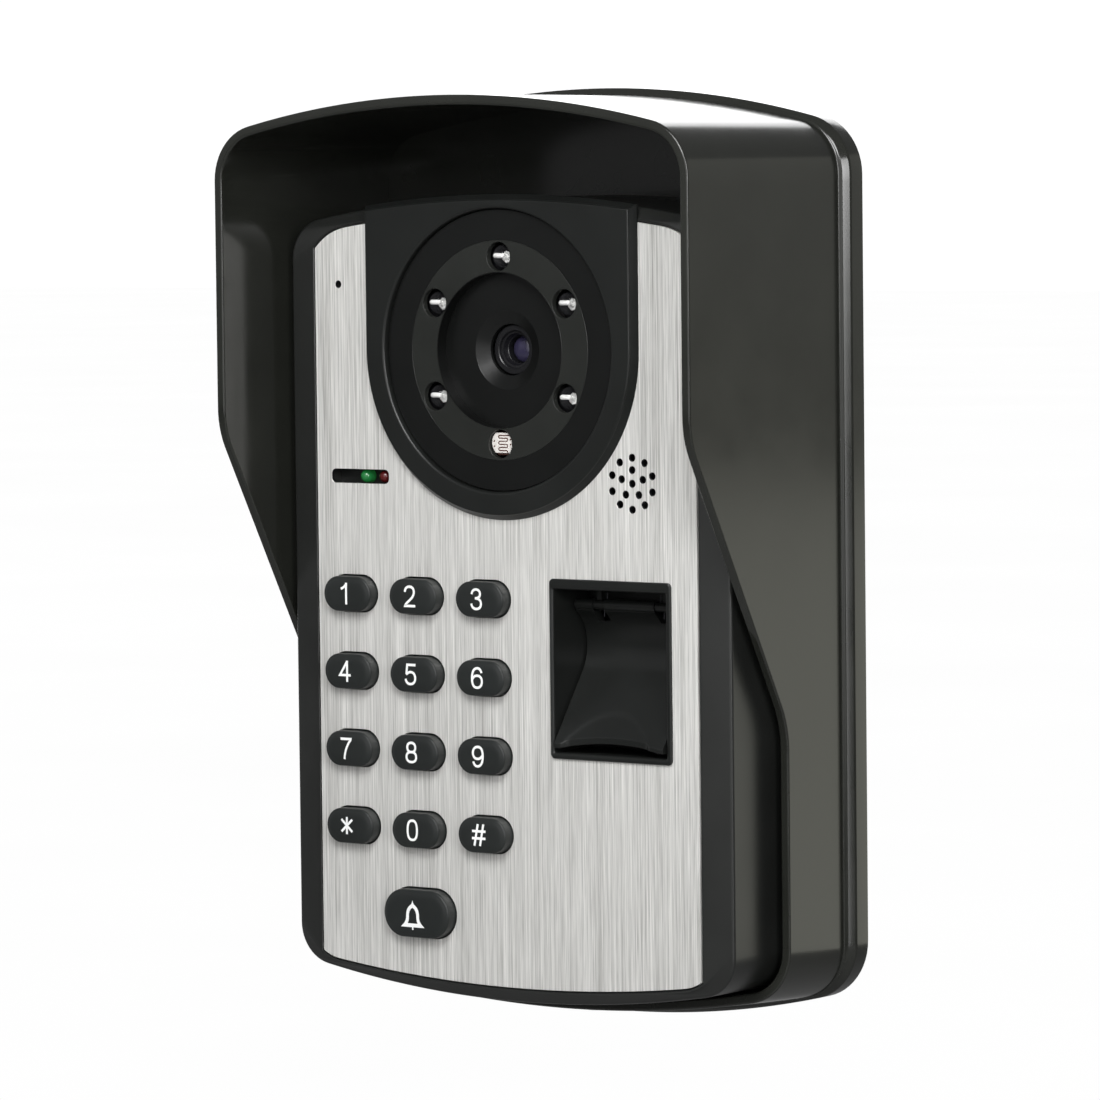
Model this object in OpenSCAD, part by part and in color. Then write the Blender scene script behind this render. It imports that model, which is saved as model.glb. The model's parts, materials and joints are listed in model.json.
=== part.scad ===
// Wall-mounted door intercom panel with a rain hood, camera, keypad and fingerprint reader.
// Millimetres. +Z is up, the front faces -Y and the wall plane is Y = 0.
// The origin is on the wall face at half height.

/* [Hood and wall flange] */
// Half width of the wall flange
flange_half_w = 65.6; // [64.8:0.1:68]
// Half height of the wall flange at its crown
flange_half_h = 101.5; // [101:0.1:104]
// Depth of the wall flange
flange_depth = 6.2; // [4:0.1:9]
// Half width of the hood
hood_half_w = 63.3; // [63:0.1:64.2]
// Height of the hood's crown above the origin
hood_top = 99.9; // [98:0.1:100.4]
// Depth of the hood's tray below the origin
hood_bottom = 98.9; // [98.4:0.1:100]
// Distance from the wall to the hood's front rim
hood_depth = 61.4; // [54:0.1:70]
// Distance from the wall to the lower rim
tray_depth = 26.7; // [20:0.1:30]
// Wall thickness of the hood
hood_wall = 2.15; // [1.8:0.05:2.2]
// Height where the side rim starts to slope back
slope_top = 28; // [20:1:36]
// Height where the side rim stops sloping
slope_bottom = -34; // [-45:1:-25]

/* [Case and face plate] */
// Half width of the case
case_half_w = 58.7; // [58:0.1:59.2]
// Height of the case's crown above the origin
case_top = 78.1; // [77:0.1:82]
// Depth of the case below the origin
case_bottom = 95.5; // [94.8:0.1:96]
// Distance from the wall to the face plate's front
plate_front = 42; // [41:0.1:44]
// Thickness of the face plate
plate_t = 0.8; // [0.5:0.1:1.2]
// Half width of the face plate
plate_half_w = 51; // [50.6:0.1:51.6]
// Height of the face plate's crown
plate_top = 74.85; // [74:0.05:75.2]
// Depth of the face plate below the origin
plate_bottom = 92.25; // [91.6:0.05:92.5]

/* [Camera] */
// Height of the camera's centre
cam_z = 45.3; // [44:0.1:46]
// Half width of the camera panel at the plate
cam_panel_r = 36.5; // [36:0.1:38]
// Radius of the round recess in the camera panel
cam_recess_r = 30.4; // [29.8:0.1:31]
// Radius of the circle that the lamps sit on
lamp_circle_r = 20.1; // [19.6:0.1:20.6]
// Outer radius of the lamp ring
lamp_ring_ro = 23.6; // [23.4:0.1:24.5]
// Inner radius of the lamp ring
lamp_ring_ri = 16.8; // [16:0.1:16.9]

/* [Keypad] */
// Distance between key columns
key_pitch_x = 18.2; // [17:0.1:18.6]
// Distance between key rows
key_pitch_z = 17.0; // [15:0.1:17.2]
// X of the left key column
key_x = -41.1; // [-42:0.1:-40]
// Z of the top key row
key_z = -8.3; // [-9:0.1:-7]
// Width of a digit key's cap
key_w = 11.4; // [10:0.1:11.6]
// Height of a digit key's cap
key_h = 7.3; // [6.5:0.1:7.5]
// Width of the bell key's cap
bell_w = 15.4; // [14:0.1:15.8]
// Height of the bell key's cap
bell_h = 10.1; // [9:0.1:10.3]
// How far a key stands out of the plate
key_proud = 3.1; // [2:0.1:4]
// Travel of a key
key_travel = 0.8; // [0.4:0.1:0.8]

/* [Fingerprint reader] */
// X of the reader's centre
fp_x = 28.5; // [28:0.1:29]
// Z of the reader's centre
fp_z = -22.6; // [-23:0.1:-22]
// Width of the reader's frame
fp_w = 31.8; // [31:0.1:32]
// Height of the reader's frame
fp_h = 38.6; // [38:0.1:39]

/* [Hidden] */
$fn = 64;
through = 1; // how far a cut runs past the face it opens

// Outline arcs: [crown height, crown radius, corner radius]
flange_arc = [flange_half_h, 235, 13];
hood_top_arc = [hood_top, 244, 12];
hood_bottom_arc = [hood_bottom, 300, 12];
case_top_arc = [case_top, 286, 9];
case_bottom_arc = [case_bottom, 286, 9];
plate_top_arc = [plate_top, 290, 14];
plate_bottom_arc = [plate_bottom, 356, 10.7];
plate_top_w = plate_half_w + 3.5;
plate_bottom_w = plate_half_w + 5;

// Depth stack, as distances from the wall
back_wall_t = 2.5;
rear_cover_back = 3;
rear_cover_t = 2.2;
seam = 13.5;
gasket_t = 1;
case_wall = 2.2;
case_shoulder = 40.7; // where the sides turn into the sloped front border
front_wall_back = 38.7;
plate_back = plate_front - plate_t;
plate_gap = 0.35;
bezel_front = 44;
window_front = 42.65;

// Wall fixings and the cable outlet
wall_hole_x = 30;
wall_hole_z = 75;
wall_hole_r = 2.25;
outlet_half_w = 20;
outlet_z = [15, 55];

// Case screws and board screws
boss_x = 53.8;
boss_r = 3.2;
boss_z = [62, -76];
screw_r = 1.25;
pilot_r = 1.3;
post_x = 42;
post_z = [64, -80];

// Lock screw under the tray
lock_y = 9.5;
lock_r = 1.5;

// Boards
board_t = 1.6;
main_board_back = 16.4;
keypad_board_back = 33;

// Holes in the plate
mic_x = -44.5;
mic_z = 59.3;
sound_hole_r = 0.85;
speaker_x = 34.4;
speaker_z = 17.4;
speaker_rings = [[0, 1], [2.9, 5], [5.5, 10]]; // radius and number of holes
status_x = -39;
status_z = 17.4;
status_w = 15.3;
status_h = 3;

// Keys
key_hole_gap = 0.5;
key_skirt = 1.5;
key_skirt_t = 1.1;
bell_x = key_x + key_pitch_x;
bell_z = -77.5;

// Reader
fp_rim_side = 1.2;
fp_rim_top = 2.3;
fp_rim_bottom = 1.3;
fp_rim_proud = 0.7;
fp_lap = 0.45; // how far the rim laps over the plate
fp_back = 27.4;
fp_floor = 29;
fp_l = fp_x - fp_w / 2;
fp_r = fp_x + fp_w / 2;
fp_b = fp_z - fp_h / 2;
fp_t = fp_z + fp_h / 2;
hinge_y = -34.4;
hinge_z = fp_t - 5.9;
pin_r = 0.6;
barrel_r = 1.3;
barrel_bore_r = 0.66;
lug_x = 8.1; // offset of each hinge lug from the reader's centre
lug_w = 1.2;
notch_w = 3;
side_play = 0.3; // between a lug or spring and the side of its notch
spring_wire_r = 0.13;
spring_r = 0.85;
spring_turns = 3;
spring_pitch = 0.28;
flap_gap = 0.4;
flap_t = 1.6;
bowl_y = -40.53; // centre of the flap's bowl
bowl_z = fp_t - 14.9;
bowl_r = 9.33;
bowl_end = -35.4; // angle where the bowl runs out into the straight ramp
ramp_len = 16.6;
lip_drop = 2.4;
bowl_start = atan2(hinge_z - bowl_z, hinge_y - bowl_y);

// ---- helpers ----

// Extrudes an X-Z shape between two distances from the wall
module slab(near_wall, far) {
  translate([0, -near_wall, 0])
    rotate([90, 0, 0])
      linear_extrude(far - near_wall)
        children();
}

// Round bar along Y between two distances from the wall
module bar_y(x, z, r, near_wall, far) {
  slab(near_wall, far)
    translate([x, z])
      circle(r);
}

// Points along an arc
function arc(cx, cz, r, a0, a1, n) =
  [for (i = [0 : n]) let (a = a0 + (a1 - a0) * i / n) [cx + r * cos(a), cz + r * sin(a)]];

// Right half of an arched end: corner arc, then the shallow crown
function arch_half(w, s) =
  let (cz = s[0] - s[1] + sqrt(pow(s[1] - s[2], 2) - pow(w - s[2], 2)))
  let (t = atan2(cz - s[0] + s[1], w - s[2]))
  concat(
    arc(w - s[2], cz, s[2], 0, t, 8),
    [for (i = [1 : 12]) let (a = t + (90 - t) * i / 12) [s[1] * cos(a), s[0] - s[1] + s[1] * sin(a)]]
  );

// Closed outline with an arched top and an arched bottom, pulled in by d
function outline(wt, top, wb, bottom, d = 0) =
  let (a = arch_half(wt - d, top - [d, d, d]))
  let (b = arch_half(wb - d, bottom - [d, d, d]))
  concat(
    a,
    [for (i = [len(a) - 2 : -1 : 0]) [-a[i].x, a[i].y]],
    [for (p = b) [-p.x, -p.y]],
    [for (i = [len(b) - 2 : -1 : 0]) [b[i].x, -b[i].y]]
  );

// Rounds the bend at p1 between p0 and p2
function bend(p0, p1, p2, r, n) =
  let (a = (p0 - p1) / norm(p0 - p1))
  let (b = (p2 - p1) / norm(p2 - p1))
  let (half = acos(a * b) / 2)
  let (c = p1 + (a + b) / norm(a + b) * r / sin(half))
  let (s = p1 + a * r / tan(half) - c)
  let (e = p1 + b * r / tan(half) - c)
  let (a0 = atan2(s.y, s.x))
  let (da = atan2(e.y, e.x) - a0)
  let (turn = da > 180 ? da - 360 : (da < -180 ? da + 360 : da))
  arc(c.x, c.y, r, a0, a0 + turn, n);

module case_shape(d = 0) {
  polygon(outline(case_half_w, case_top_arc, case_half_w, case_bottom_arc, d));
}

module hood_shape(d = 0) {
  polygon(outline(hood_half_w, hood_top_arc, hood_half_w, hood_bottom_arc, d));
}

module plate_shape(d = 0) {
  intersection() {
    polygon(outline(plate_top_w, plate_top_arc, plate_bottom_w, plate_bottom_arc, d));
    translate([-plate_half_w + d, -150])
      square([2 * (plate_half_w - d), 300]);
  }
}

// U shape of the camera panel, open upwards
module camera_shape(r) {
  translate([0, cam_z])
    circle(r);
  translate([-r, cam_z])
    square([2 * r, 60]);
}

module pill(w, h) {
  translate([-(w - h) / 2, 0])
    circle(h / 2);
  translate([(w - h) / 2, 0])
    circle(h / 2);
  square([w - h, h], center = true);
}

module rounded_rect(w, h, r) {
  square([w - 2 * r, h], center = true);
  square([w, h - 2 * r], center = true);
  for (sx = [-1, 1], sz = [-1, 1])
    translate([sx * (w / 2 - r), sz * (h / 2 - r)])
      circle(r);
}

// Centre of a digit key, by column 0-2 and row 0-3
function key_pos(col, row) = [key_x + col * key_pitch_x, key_z - row * key_pitch_z];

module key_holes(gap) {
  for (col = [0 : 2], row = [0 : 3])
    translate(key_pos(col, row))
      pill(key_w + 2 * gap, key_h + 2 * gap);
  translate([bell_x, bell_z])
    pill(bell_w + 2 * gap, bell_h + 2 * gap);
}

module four(x, z) {
  for (sx = [-1, 1], h = z)
    translate([sx * x, h])
      children();
}

// Lamp positions, clockwise from the top; the light sensor has the lowest place
module lamp_places(angles) {
  for (a = angles)
    translate([lamp_circle_r * sin(a), cam_z + lamp_circle_r * cos(a)])
      children();
}

lamp_angles = [0, 60, 120, 240, 300];
sensor_angle = 180;

module sound_holes(r) {
  for (ring = speaker_rings)
    for (i = [0 : ring[1] - 1])
      translate([speaker_x + ring[0] * sin(i * 360 / ring[1]), speaker_z + ring[0] * cos(i * 360 / ring[1])])
        circle(r, $fn = 24);
}

// ---- hood and case ----

module rain_hood() {
  rim = concat(
    [[-hood_depth - 10, slope_top + 8]],
    bend([-hood_depth, 80], [-hood_depth, slope_top], [-tray_depth, slope_bottom], 18, 8),
    bend([-hood_depth, slope_top], [-tray_depth, slope_bottom], [-tray_depth, -120], 20, 8),
    [[-tray_depth, -120], [-hood_depth - 10, -120]]
  );
  color([0.09, 0.095, 0.09])
    difference() {
      union() {
        slab(0, flange_depth)
          polygon(outline(flange_half_w, flange_arc, flange_half_w, flange_arc));
        slab(back_wall_t, hood_depth)
          hood_shape();
      }
      slab(back_wall_t, hood_depth + through)
        hood_shape(hood_wall);
      // sloped side rim
      translate([-100, 0, 0])
        rotate([90, 0, 90])
          linear_extrude(200)
            polygon(rim);
      // wall screws
      slab(-through, back_wall_t + through)
        four(wall_hole_x, [wall_hole_z, -wall_hole_z])
          circle(wall_hole_r);
      // cable outlet
      slab(-through, back_wall_t + through)
        translate([0, (outlet_z[0] + outlet_z[1]) / 2])
          rounded_rect(2 * outlet_half_w, outlet_z[1] - outlet_z[0], 4);
      // lock screw through the tray
      translate([0, -lock_y, -110])
        cylinder(h = 20, r = lock_r + 0.3);
    }
}

// Screw up through the tray into the rear cover
module lock_screw() {
  head_z = -hood_bottom - 1.8;
  color([0.55, 0.55, 0.56])
    translate([0, -lock_y, 0])
      difference() {
        union() {
          translate([0, 0, head_z])
            cylinder(h = 1.8, r = 2.8);
          translate([0, 0, head_z])
            cylinder(h = 12, r = lock_r);
        }
        for (a = [0, 90])
          rotate([0, 0, a])
            translate([-1.7, -0.35, head_z - through])
              cube([3.4, 0.7, through + 0.9]);
      }
}

module rear_cover() {
  color([0.1, 0.1, 0.1])
    difference() {
      union() {
        difference() {
          slab(rear_cover_back, seam - gasket_t)
            case_shape();
          slab(rear_cover_back + rear_cover_t, seam)
            case_shape(case_wall);
        }
        slab(rear_cover_back, seam - gasket_t)
          four(boss_x, boss_z)
            circle(boss_r);
        slab(rear_cover_back + 1, main_board_back)
          four(post_x, post_z)
            circle(3);
        // block that takes the lock screw
        translate([-5, -lock_y - 2.9, -case_bottom + 1])
          cube([10, 5.8, 9]);
      }
      // case screw holes with sunk heads
      slab(rear_cover_back - through, seam)
        four(boss_x, boss_z)
          circle(screw_r + 0.25);
      slab(rear_cover_back - through, rear_cover_back + 1.8)
        four(boss_x, boss_z)
          circle(2.7);
      slab(rear_cover_back + rear_cover_t + 3, main_board_back + through)
        four(post_x, post_z)
          circle(screw_r + 0.05);
      // terminal window
      slab(rear_cover_back - through, rear_cover_back + rear_cover_t + through)
        translate([0, 35])
          rounded_rect(36, 30, 3);
      translate([0, -lock_y, -110])
        cylinder(h = 27, r = lock_r + 0.05);
    }
}

module case_gasket() {
  color([0.16, 0.16, 0.17])
    slab(seam - gasket_t, seam)
      difference() {
        case_shape(0.4);
        case_shape(case_wall - 0.3);
      }
}

module screw_y(x, z, head_at, head_r, head_h, tip_at) {
  difference() {
    union() {
      bar_y(x, z, head_r, min(head_at, head_at + head_h), max(head_at, head_at + head_h));
      bar_y(x, z, screw_r, min(head_at, tip_at), max(head_at, tip_at));
    }
    slot_from = head_h > 0 ? head_at - through : head_at + head_h - through;
    translate([x, -slot_from, z])
      rotate([90, 0, 0])
        linear_extrude(through + 0.8)
          for (a = [0, 90])
            rotate(a)
              square([head_r * 1.2, 0.6], center = true);
  }
}

module case_screws() {
  color([0.62, 0.62, 0.64])
    for (sx = [-1, 1], h = boss_z)
      screw_y(sx * boss_x, h, rear_cover_back + 0.1, 2.5, 1.6, 27);
}

module front_case() {
  shoulder_w = case_half_w - plate_half_w;
  color([0.09, 0.095, 0.09])
    difference() {
      union() {
        difference() {
          slab(seam, case_shoulder)
            case_shape();
          slab(seam - through, front_wall_back)
            case_shape(case_wall);
        }
        // sloped border round the face plate
        hull() {
          slab(case_shoulder - 0.1, case_shoulder)
            case_shape();
          slab(plate_front - 0.05, plate_front)
            plate_shape(-0.9);
        }
        slab(seam, front_wall_back + 0.5)
          four(boss_x, boss_z)
            circle(boss_r);
      }
      // bed of the face plate
      slab(plate_back, plate_front + through)
        plate_shape(-plate_gap);
      slab(seam - through, 30)
        four(boss_x, boss_z)
          circle(pilot_r);
      // camera, sound, status and microphone openings
      bar_y(0, cam_z, cam_recess_r - 1.2, 30, plate_front);
      bar_y(speaker_x, speaker_z, 7.5, 30, plate_front);
      bar_y(mic_x, mic_z, sound_hole_r, 30, plate_front);
      slab(30, plate_front)
        translate([status_x, status_z])
          square([status_w, status_h], center = true);
      // keys
      slab(30, plate_front)
        key_holes(key_hole_gap);
      // reader
      slab(30, plate_front)
        translate([fp_x, fp_z])
          square([fp_w - 2 * fp_lap, fp_h - 2 * fp_lap], center = true);
    }
}

module face_plate() {
  color([0.78, 0.78, 0.76])
    slab(plate_back, plate_front)
      difference() {
        plate_shape();
        camera_shape(cam_panel_r - 2);
        sound_holes(sound_hole_r);
        translate([mic_x, mic_z])
          circle(sound_hole_r, $fn = 24);
        translate([status_x, status_z])
          rounded_rect(status_w, status_h, 0.6);
        key_holes(key_hole_gap);
        translate([fp_x, fp_z])
          square([fp_w - 2 * fp_lap, fp_h - 2 * fp_lap], center = true);
      }
}

// ---- camera ----

module camera_bezel() {
  color([0.06, 0.06, 0.065])
    difference() {
      union() {
        intersection() {
          hull() {
            slab(plate_front, plate_front + 0.05)
              camera_shape(cam_panel_r);
            slab(bezel_front - 0.05, bezel_front)
              camera_shape(cam_panel_r - 1.5);
          }
          slab(plate_front - through, bezel_front + through)
            case_shape(1);
        }
        slab(plate_back, plate_front + 0.05)
          intersection() {
            camera_shape(cam_panel_r - 2.2);
            plate_shape(0.1);
          }
      }
      bar_y(0, cam_z, cam_recess_r, plate_back - through, bezel_front + through);
    }
}

module camera_window() {
  color([0.03, 0.03, 0.035])
    slab(plate_back, window_front)
      translate([0, cam_z])
        difference() {
          circle(cam_recess_r - 0.2);
          circle(lamp_ring_ro);
        }
}

module lamp_ring() {
  color([0.11, 0.11, 0.11])
    slab(plate_back, window_front)
      difference() {
        translate([0, cam_z])
          circle(lamp_ring_ro);
        translate([0, cam_z])
          circle(lamp_ring_ri);
        lamp_places(concat(lamp_angles, [sensor_angle]))
          circle(3.1);
      }
}

// Inner disc with a cone that leads to the lens
module lens_cone() {
  color([0.05, 0.05, 0.05])
    translate([0, -plate_back + 3, cam_z])
      rotate([90, 0, 0])
        rotate_extrude()
          polygon([
            [5.55, 0], [7.5, 0], [7.5, 3], [lamp_ring_ri, 3], [lamp_ring_ri, 3 + window_front - plate_back],
            [8.3, 3 + window_front - plate_back], [5.55, 3]
          ]);
}

module lens_barrel() {
  color([0.04, 0.04, 0.04])
    translate([0, -30, cam_z])
      rotate([90, 0, 0])
        rotate_extrude()
          polygon([
            [0, 0], [5.4, 0], [5.4, 9.8], [4.6, 10.2], [4.1, 10.2], [3.1, 8.2], [3.1, 6.5], [0, 6.5]
          ]);
}

module lens_glass() {
  color([0.25, 0.25, 0.45])
    intersection() {
      translate([0, -34.5, cam_z])
        sphere(3.9);
      bar_y(0, cam_z, 3, 36.5, 40);
    }
}

module lens_holder() {
  color([0.07, 0.07, 0.07])
    difference() {
      slab(24, 36)
        translate([0, cam_z])
          square([15, 15], center = true);
      bar_y(0, cam_z, 5.45, 30, 37);
    }
}

module camera_board() {
  color([0.05, 0.25, 0.12])
    slab(24 - board_t, 24)
      translate([0, cam_z])
        square([38, 38], center = true);
}

module lamp_board() {
  color([0.05, 0.25, 0.12])
    slab(37.5 - board_t, 37.5)
      translate([0, cam_z])
        difference() {
          circle(27);
          circle(11.2);
        }
}

lamp_r = 2.5;
lamp_centre = 40.4;

module infrared_lamps() {
  color([0.85, 0.88, 0.9])
    for (a = lamp_angles)
      translate([lamp_circle_r * sin(a), 0, cam_z + lamp_circle_r * cos(a)]) {
        bar_y(0, 0, 2.85, 37.5, 38.4);
        intersection() {
          bar_y(0, 0, lamp_r, 37.5, lamp_centre + lamp_r + 1);
          union() {
            bar_y(0, 0, lamp_r, 37.5, lamp_centre);
            translate([0, -lamp_centre, 0])
              sphere(lamp_r);
          }
        }
      }
}

module light_sensor() {
  color([0.75, 0.6, 0.6])
    slab(37.5, 41.8)
      lamp_places([sensor_angle])
        translate([0, 0.2])
          intersection() {
            circle(2.9);
            square([6, 4.4], center = true);
          }
}

// ---- status lamps, sound ----

module status_lamp(x) {
  bar_y(x, status_z, 1.45, 35.5, 40);
  translate([x, -40, status_z])
    sphere(1.45);
}

module status_lamp_green() {
  color([0.1, 0.8, 0.25])
    status_lamp(status_x + 0.4);
}

module status_lamp_red() {
  color([0.8, 0.1, 0.08])
    status_lamp(status_x + 5.6);
}

module status_lamp_baffle() {
  color([0.05, 0.05, 0.05])
    difference() {
      slab(35.5, front_wall_back)
        translate([status_x, status_z])
          square([19, 7], center = true);
      bar_y(status_x + 0.4, status_z, 1.5, 35, 40);
      bar_y(status_x + 5.6, status_z, 1.5, 35, 40);
    }
}

module speaker_mesh() {
  color([0.12, 0.12, 0.12])
    bar_y(speaker_x, speaker_z, 9, front_wall_back - 0.3, front_wall_back);
}

module speaker_gasket() {
  color([0.15, 0.15, 0.15])
    slab(36.9, front_wall_back - 0.3)
      translate([speaker_x, speaker_z])
        difference() {
          circle(14);
          circle(9);
        }
}

module speaker() {
  color([0.35, 0.35, 0.36])
    translate([speaker_x, -29, speaker_z])
      rotate([90, 0, 0])
        rotate_extrude()
          polygon([
            [0, 0], [7.5, 0], [7.5, 3.4], [14, 4.4], [14, 7.9], [12.6, 7.9], [12.2, 7], [6, 5.6], [5, 6.6], [0, 7.4]
          ]);
}

module microphone() {
  color([0.6, 0.6, 0.62])
    bar_y(mic_x, mic_z, 3, 34.5, 37.2);
}

module mic_boot() {
  color([0.12, 0.12, 0.12])
    difference() {
      bar_y(mic_x, mic_z, 4, 34.5, front_wall_back);
      bar_y(mic_x, mic_z, 3, 34.5 - through, 37.2);
      bar_y(mic_x, mic_z, 0.9, 37, 40);
    }
}

// ---- fingerprint reader ----

module fingerprint_frame() {
  front = plate_front + fp_rim_proud;
  inner_l = fp_l + fp_rim_side;
  inner_w = fp_w - 2 * fp_rim_side;
  color([0.07, 0.07, 0.07])
    difference() {
      union() {
        difference() {
          union() {
            slab(plate_front, front)
              translate([fp_x, fp_z])
                rounded_rect(fp_w, fp_h, 1);
            slab(fp_back, plate_front + 0.1)
              translate([fp_x, fp_z])
                square([fp_w - 2 * fp_lap - 0.1, fp_h - 2 * fp_lap - 0.1], center = true);
          }
          slab(fp_floor, front + through)
            translate([inner_l, fp_b + fp_rim_bottom])
              square([inner_w, fp_h - fp_rim_bottom - fp_rim_top]);
        }
        // two lugs that hold the hinge pin between the flap's knuckles
        for (s = [-1, 1])
          translate([fp_x + s * (lug_x + notch_w / 2 - side_play - lug_w / 2) - lug_w / 2, 0, 0]) {
            translate([0, hinge_y, hinge_z])
              rotate([0, 90, 0])
                cylinder(h = lug_w, r = barrel_r);
            translate([0, hinge_y - barrel_r, hinge_z])
              cube([lug_w, 2 * barrel_r, fp_t - fp_rim_top - hinge_z + 0.2]);
          }
      }
      // hinge pin bores
      translate([fp_l + 0.8, hinge_y, hinge_z])
        rotate([0, 90, 0])
          cylinder(h = fp_w - 1.6, r = pin_r);
      // sensor window
      slab(fp_back - through, fp_floor + through)
        translate([fp_x, fp_z - 6])
          square([15, 18], center = true);
    }
}

module flap_hinge_pin() {
  color([0.7, 0.7, 0.72])
    translate([fp_l + 0.8, hinge_y, hinge_z])
      rotate([0, 90, 0])
        cylinder(h = fp_w - 1.6, r = pin_r);
}

// Bowl and ramp profile in Y-Z, with the knuckle at its top
module flap_profile() {
  front = arc(bowl_y, bowl_z, bowl_r, bowl_start, bowl_end, 16);
  back = arc(bowl_y, bowl_z, bowl_r + flap_t, bowl_end, bowl_start, 16);
  down = [sin(bowl_end), -cos(bowl_end)];
  lip = front[16] + down * ramp_len;
  polygon(concat(
    front,
    [lip, lip - [0, lip_drop], lip + [flap_t, -lip_drop], back[0] + down * (ramp_len - 1.4)],
    back
  ));
  translate([hinge_y, hinge_z])
    circle(barrel_r);
}

module fingerprint_flap() {
  left = fp_l + fp_rim_side + flap_gap;
  width = fp_w - 2 * (fp_rim_side + flap_gap);
  color([0.08, 0.08, 0.08])
    difference() {
      translate([left, 0, 0])
        rotate([90, 0, 90])
          linear_extrude(width)
            flap_profile();
      translate([left - through, hinge_y, hinge_z])
        rotate([0, 90, 0])
          cylinder(h = width + 2 * through, r = barrel_bore_r);
      // notches for the lugs
      for (s = [-1, 1])
        translate([fp_x + s * lug_x - notch_w / 2, hinge_y - 4, hinge_z - 3.6])
          cube([notch_w, 8, 8]);
      // arched finger cut along the lip
      bar_y(fp_x, fp_b - 66, 69.6, 20, 50);
    }
}

// Round wire along a path, with rings square to it
module wire(path, r, sides) {
  last = len(path) - 1;
  rings = [
    for (i = [0 : last])
      let (d = path[min(i + 1, last)] - path[max(i - 1, 0)])
      let (t = d / norm(d))
      let (u = [1, 0, 0] - t.x * t)
      let (n = u / norm(u))
      let (b = cross(t, n))
      for (k = [0 : sides - 1])
        path[i] + r * (cos(360 * k / sides) * n + sin(360 * k / sides) * b)
  ];
  polyhedron(
    points = rings,
    faces = concat(
      [[for (k = [0 : sides - 1]) k]],
      [[for (k = [sides - 1 : -1 : 0]) last * sides + k]],
      [
        for (i = [0 : last - 1], k = [0 : sides - 1])
          let (m = (k + 1) % sides)
          [i * sides + k, (i + 1) * sides + k, (i + 1) * sides + m, i * sides + m]
      ]
    )
  );
}

// Torsion springs wound round the pin beside the lugs, each with two straight legs
module flap_spring() {
  leg = 2.6;
  steps = 14 * spring_turns;
  path = concat(
    [[0, spring_r, leg]],
    [
      for (i = [0 : steps])
        let (a = -360 * spring_turns * i / steps)
        [spring_pitch * spring_turns * i / steps, spring_r * cos(a), spring_r * sin(a)]
    ],
    [[spring_pitch * spring_turns, spring_r, -leg]]
  );
  coil_w = spring_pitch * spring_turns;
  color([0.75, 0.75, 0.77])
    for (s = [0, 1])
      translate([fp_x, hinge_y, hinge_z])
        mirror([s, 0, 0])
          translate([lug_x - notch_w / 2 + side_play + spring_wire_r, 0, 0])
            wire(path, spring_wire_r, 8);
}

module sensor_glass() {
  color([0.2, 0.24, 0.3])
    slab(fp_back, fp_floor)
      translate([fp_x, fp_z - 6])
        square([14.8, 17.8], center = true);
}

module sensor_module() {
  color([0.1, 0.1, 0.1])
    slab(22, fp_back)
      translate([fp_x, fp_z - 6])
        square([19, 22], center = true);
}

module sensor_board() {
  color([0.05, 0.25, 0.12])
    slab(22 - board_t, 22)
      translate([fp_x, fp_z - 3])
        square([24, 32], center = true);
}

// ---- keypad ----

module key_body(w, h) {
  back = front_wall_back - 0.2;
  slab(back - 0.1, plate_front + key_proud - 0.7)
    pill(w, h);
  slab(plate_front + key_proud - 0.8, plate_front + key_proud - 0.35)
    pill(w - 0.6, h - 0.6);
  slab(plate_front + key_proud - 0.5, plate_front + key_proud)
    pill(w - 1.5, h - 1.5);
  slab(back - key_skirt_t, back)
    pill(w + 2 * key_skirt, h + 2 * key_skirt);
}

module digit_key(col, row) {
  p = key_pos(col, row);
  color([0.05, 0.055, 0.055])
    translate([p.x, 0, p.y])
      key_body(key_w, key_h);
}

module bell_key() {
  color([0.05, 0.055, 0.055])
    translate([bell_x, 0, bell_z])
      key_body(bell_w, bell_h);
}

mat_x = [-49.3, 4.5];
mat_z = [-85.5, -2];

module mat_rect(near_wall, far) {
  slab(near_wall, far)
    translate([mat_x[0], mat_z[0]])
      square([mat_x[1] - mat_x[0], mat_z[1] - mat_z[0]]);
}

// Rubber sheet with one dome behind each key
module keypad_mat() {
  dome_top = front_wall_back - 0.2 - key_skirt_t - key_travel - 0.3;
  color([0.3, 0.3, 0.31])
    union() {
      mat_rect(keypad_board_back + board_t, keypad_board_back + board_t + 0.8);
      slab(keypad_board_back + board_t, dome_top) {
        for (col = [0 : 2], row = [0 : 3])
          translate(key_pos(col, row))
            circle(3);
        translate([bell_x, bell_z])
          circle(4);
      }
    }
}

module keypad_board() {
  color([0.05, 0.25, 0.12])
    mat_rect(keypad_board_back, keypad_board_back + board_t);
}

// ---- electronics ----

module main_board() {
  color([0.05, 0.27, 0.13])
    slab(main_board_back, main_board_back + board_t)
      difference() {
        translate([-47, -85])
          square([94, 154]);
        four(post_x, post_z)
          circle(screw_r + 0.2);
      }
}

module board_screws() {
  color([0.65, 0.65, 0.67])
    for (sx = [-1, 1], h = post_z)
      screw_y(sx * post_x, h, main_board_back + board_t + 1.5, 2.6, -1.5, 9);
}

module processor() {
  color([0.08, 0.08, 0.08])
    slab(main_board_back + board_t, main_board_back + board_t + 1.4)
      translate([-12, -20])
        square([16, 16], center = true);
}

module relay() {
  color([0.12, 0.25, 0.5])
    slab(main_board_back + board_t, 33)
      translate([26, -70])
        square([19, 15], center = true);
}

module capacitors() {
  color([0.15, 0.15, 0.2])
    for (x = [16, 27, 38])
      bar_y(x, -54, 4, main_board_back + board_t, 29);
}

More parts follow.
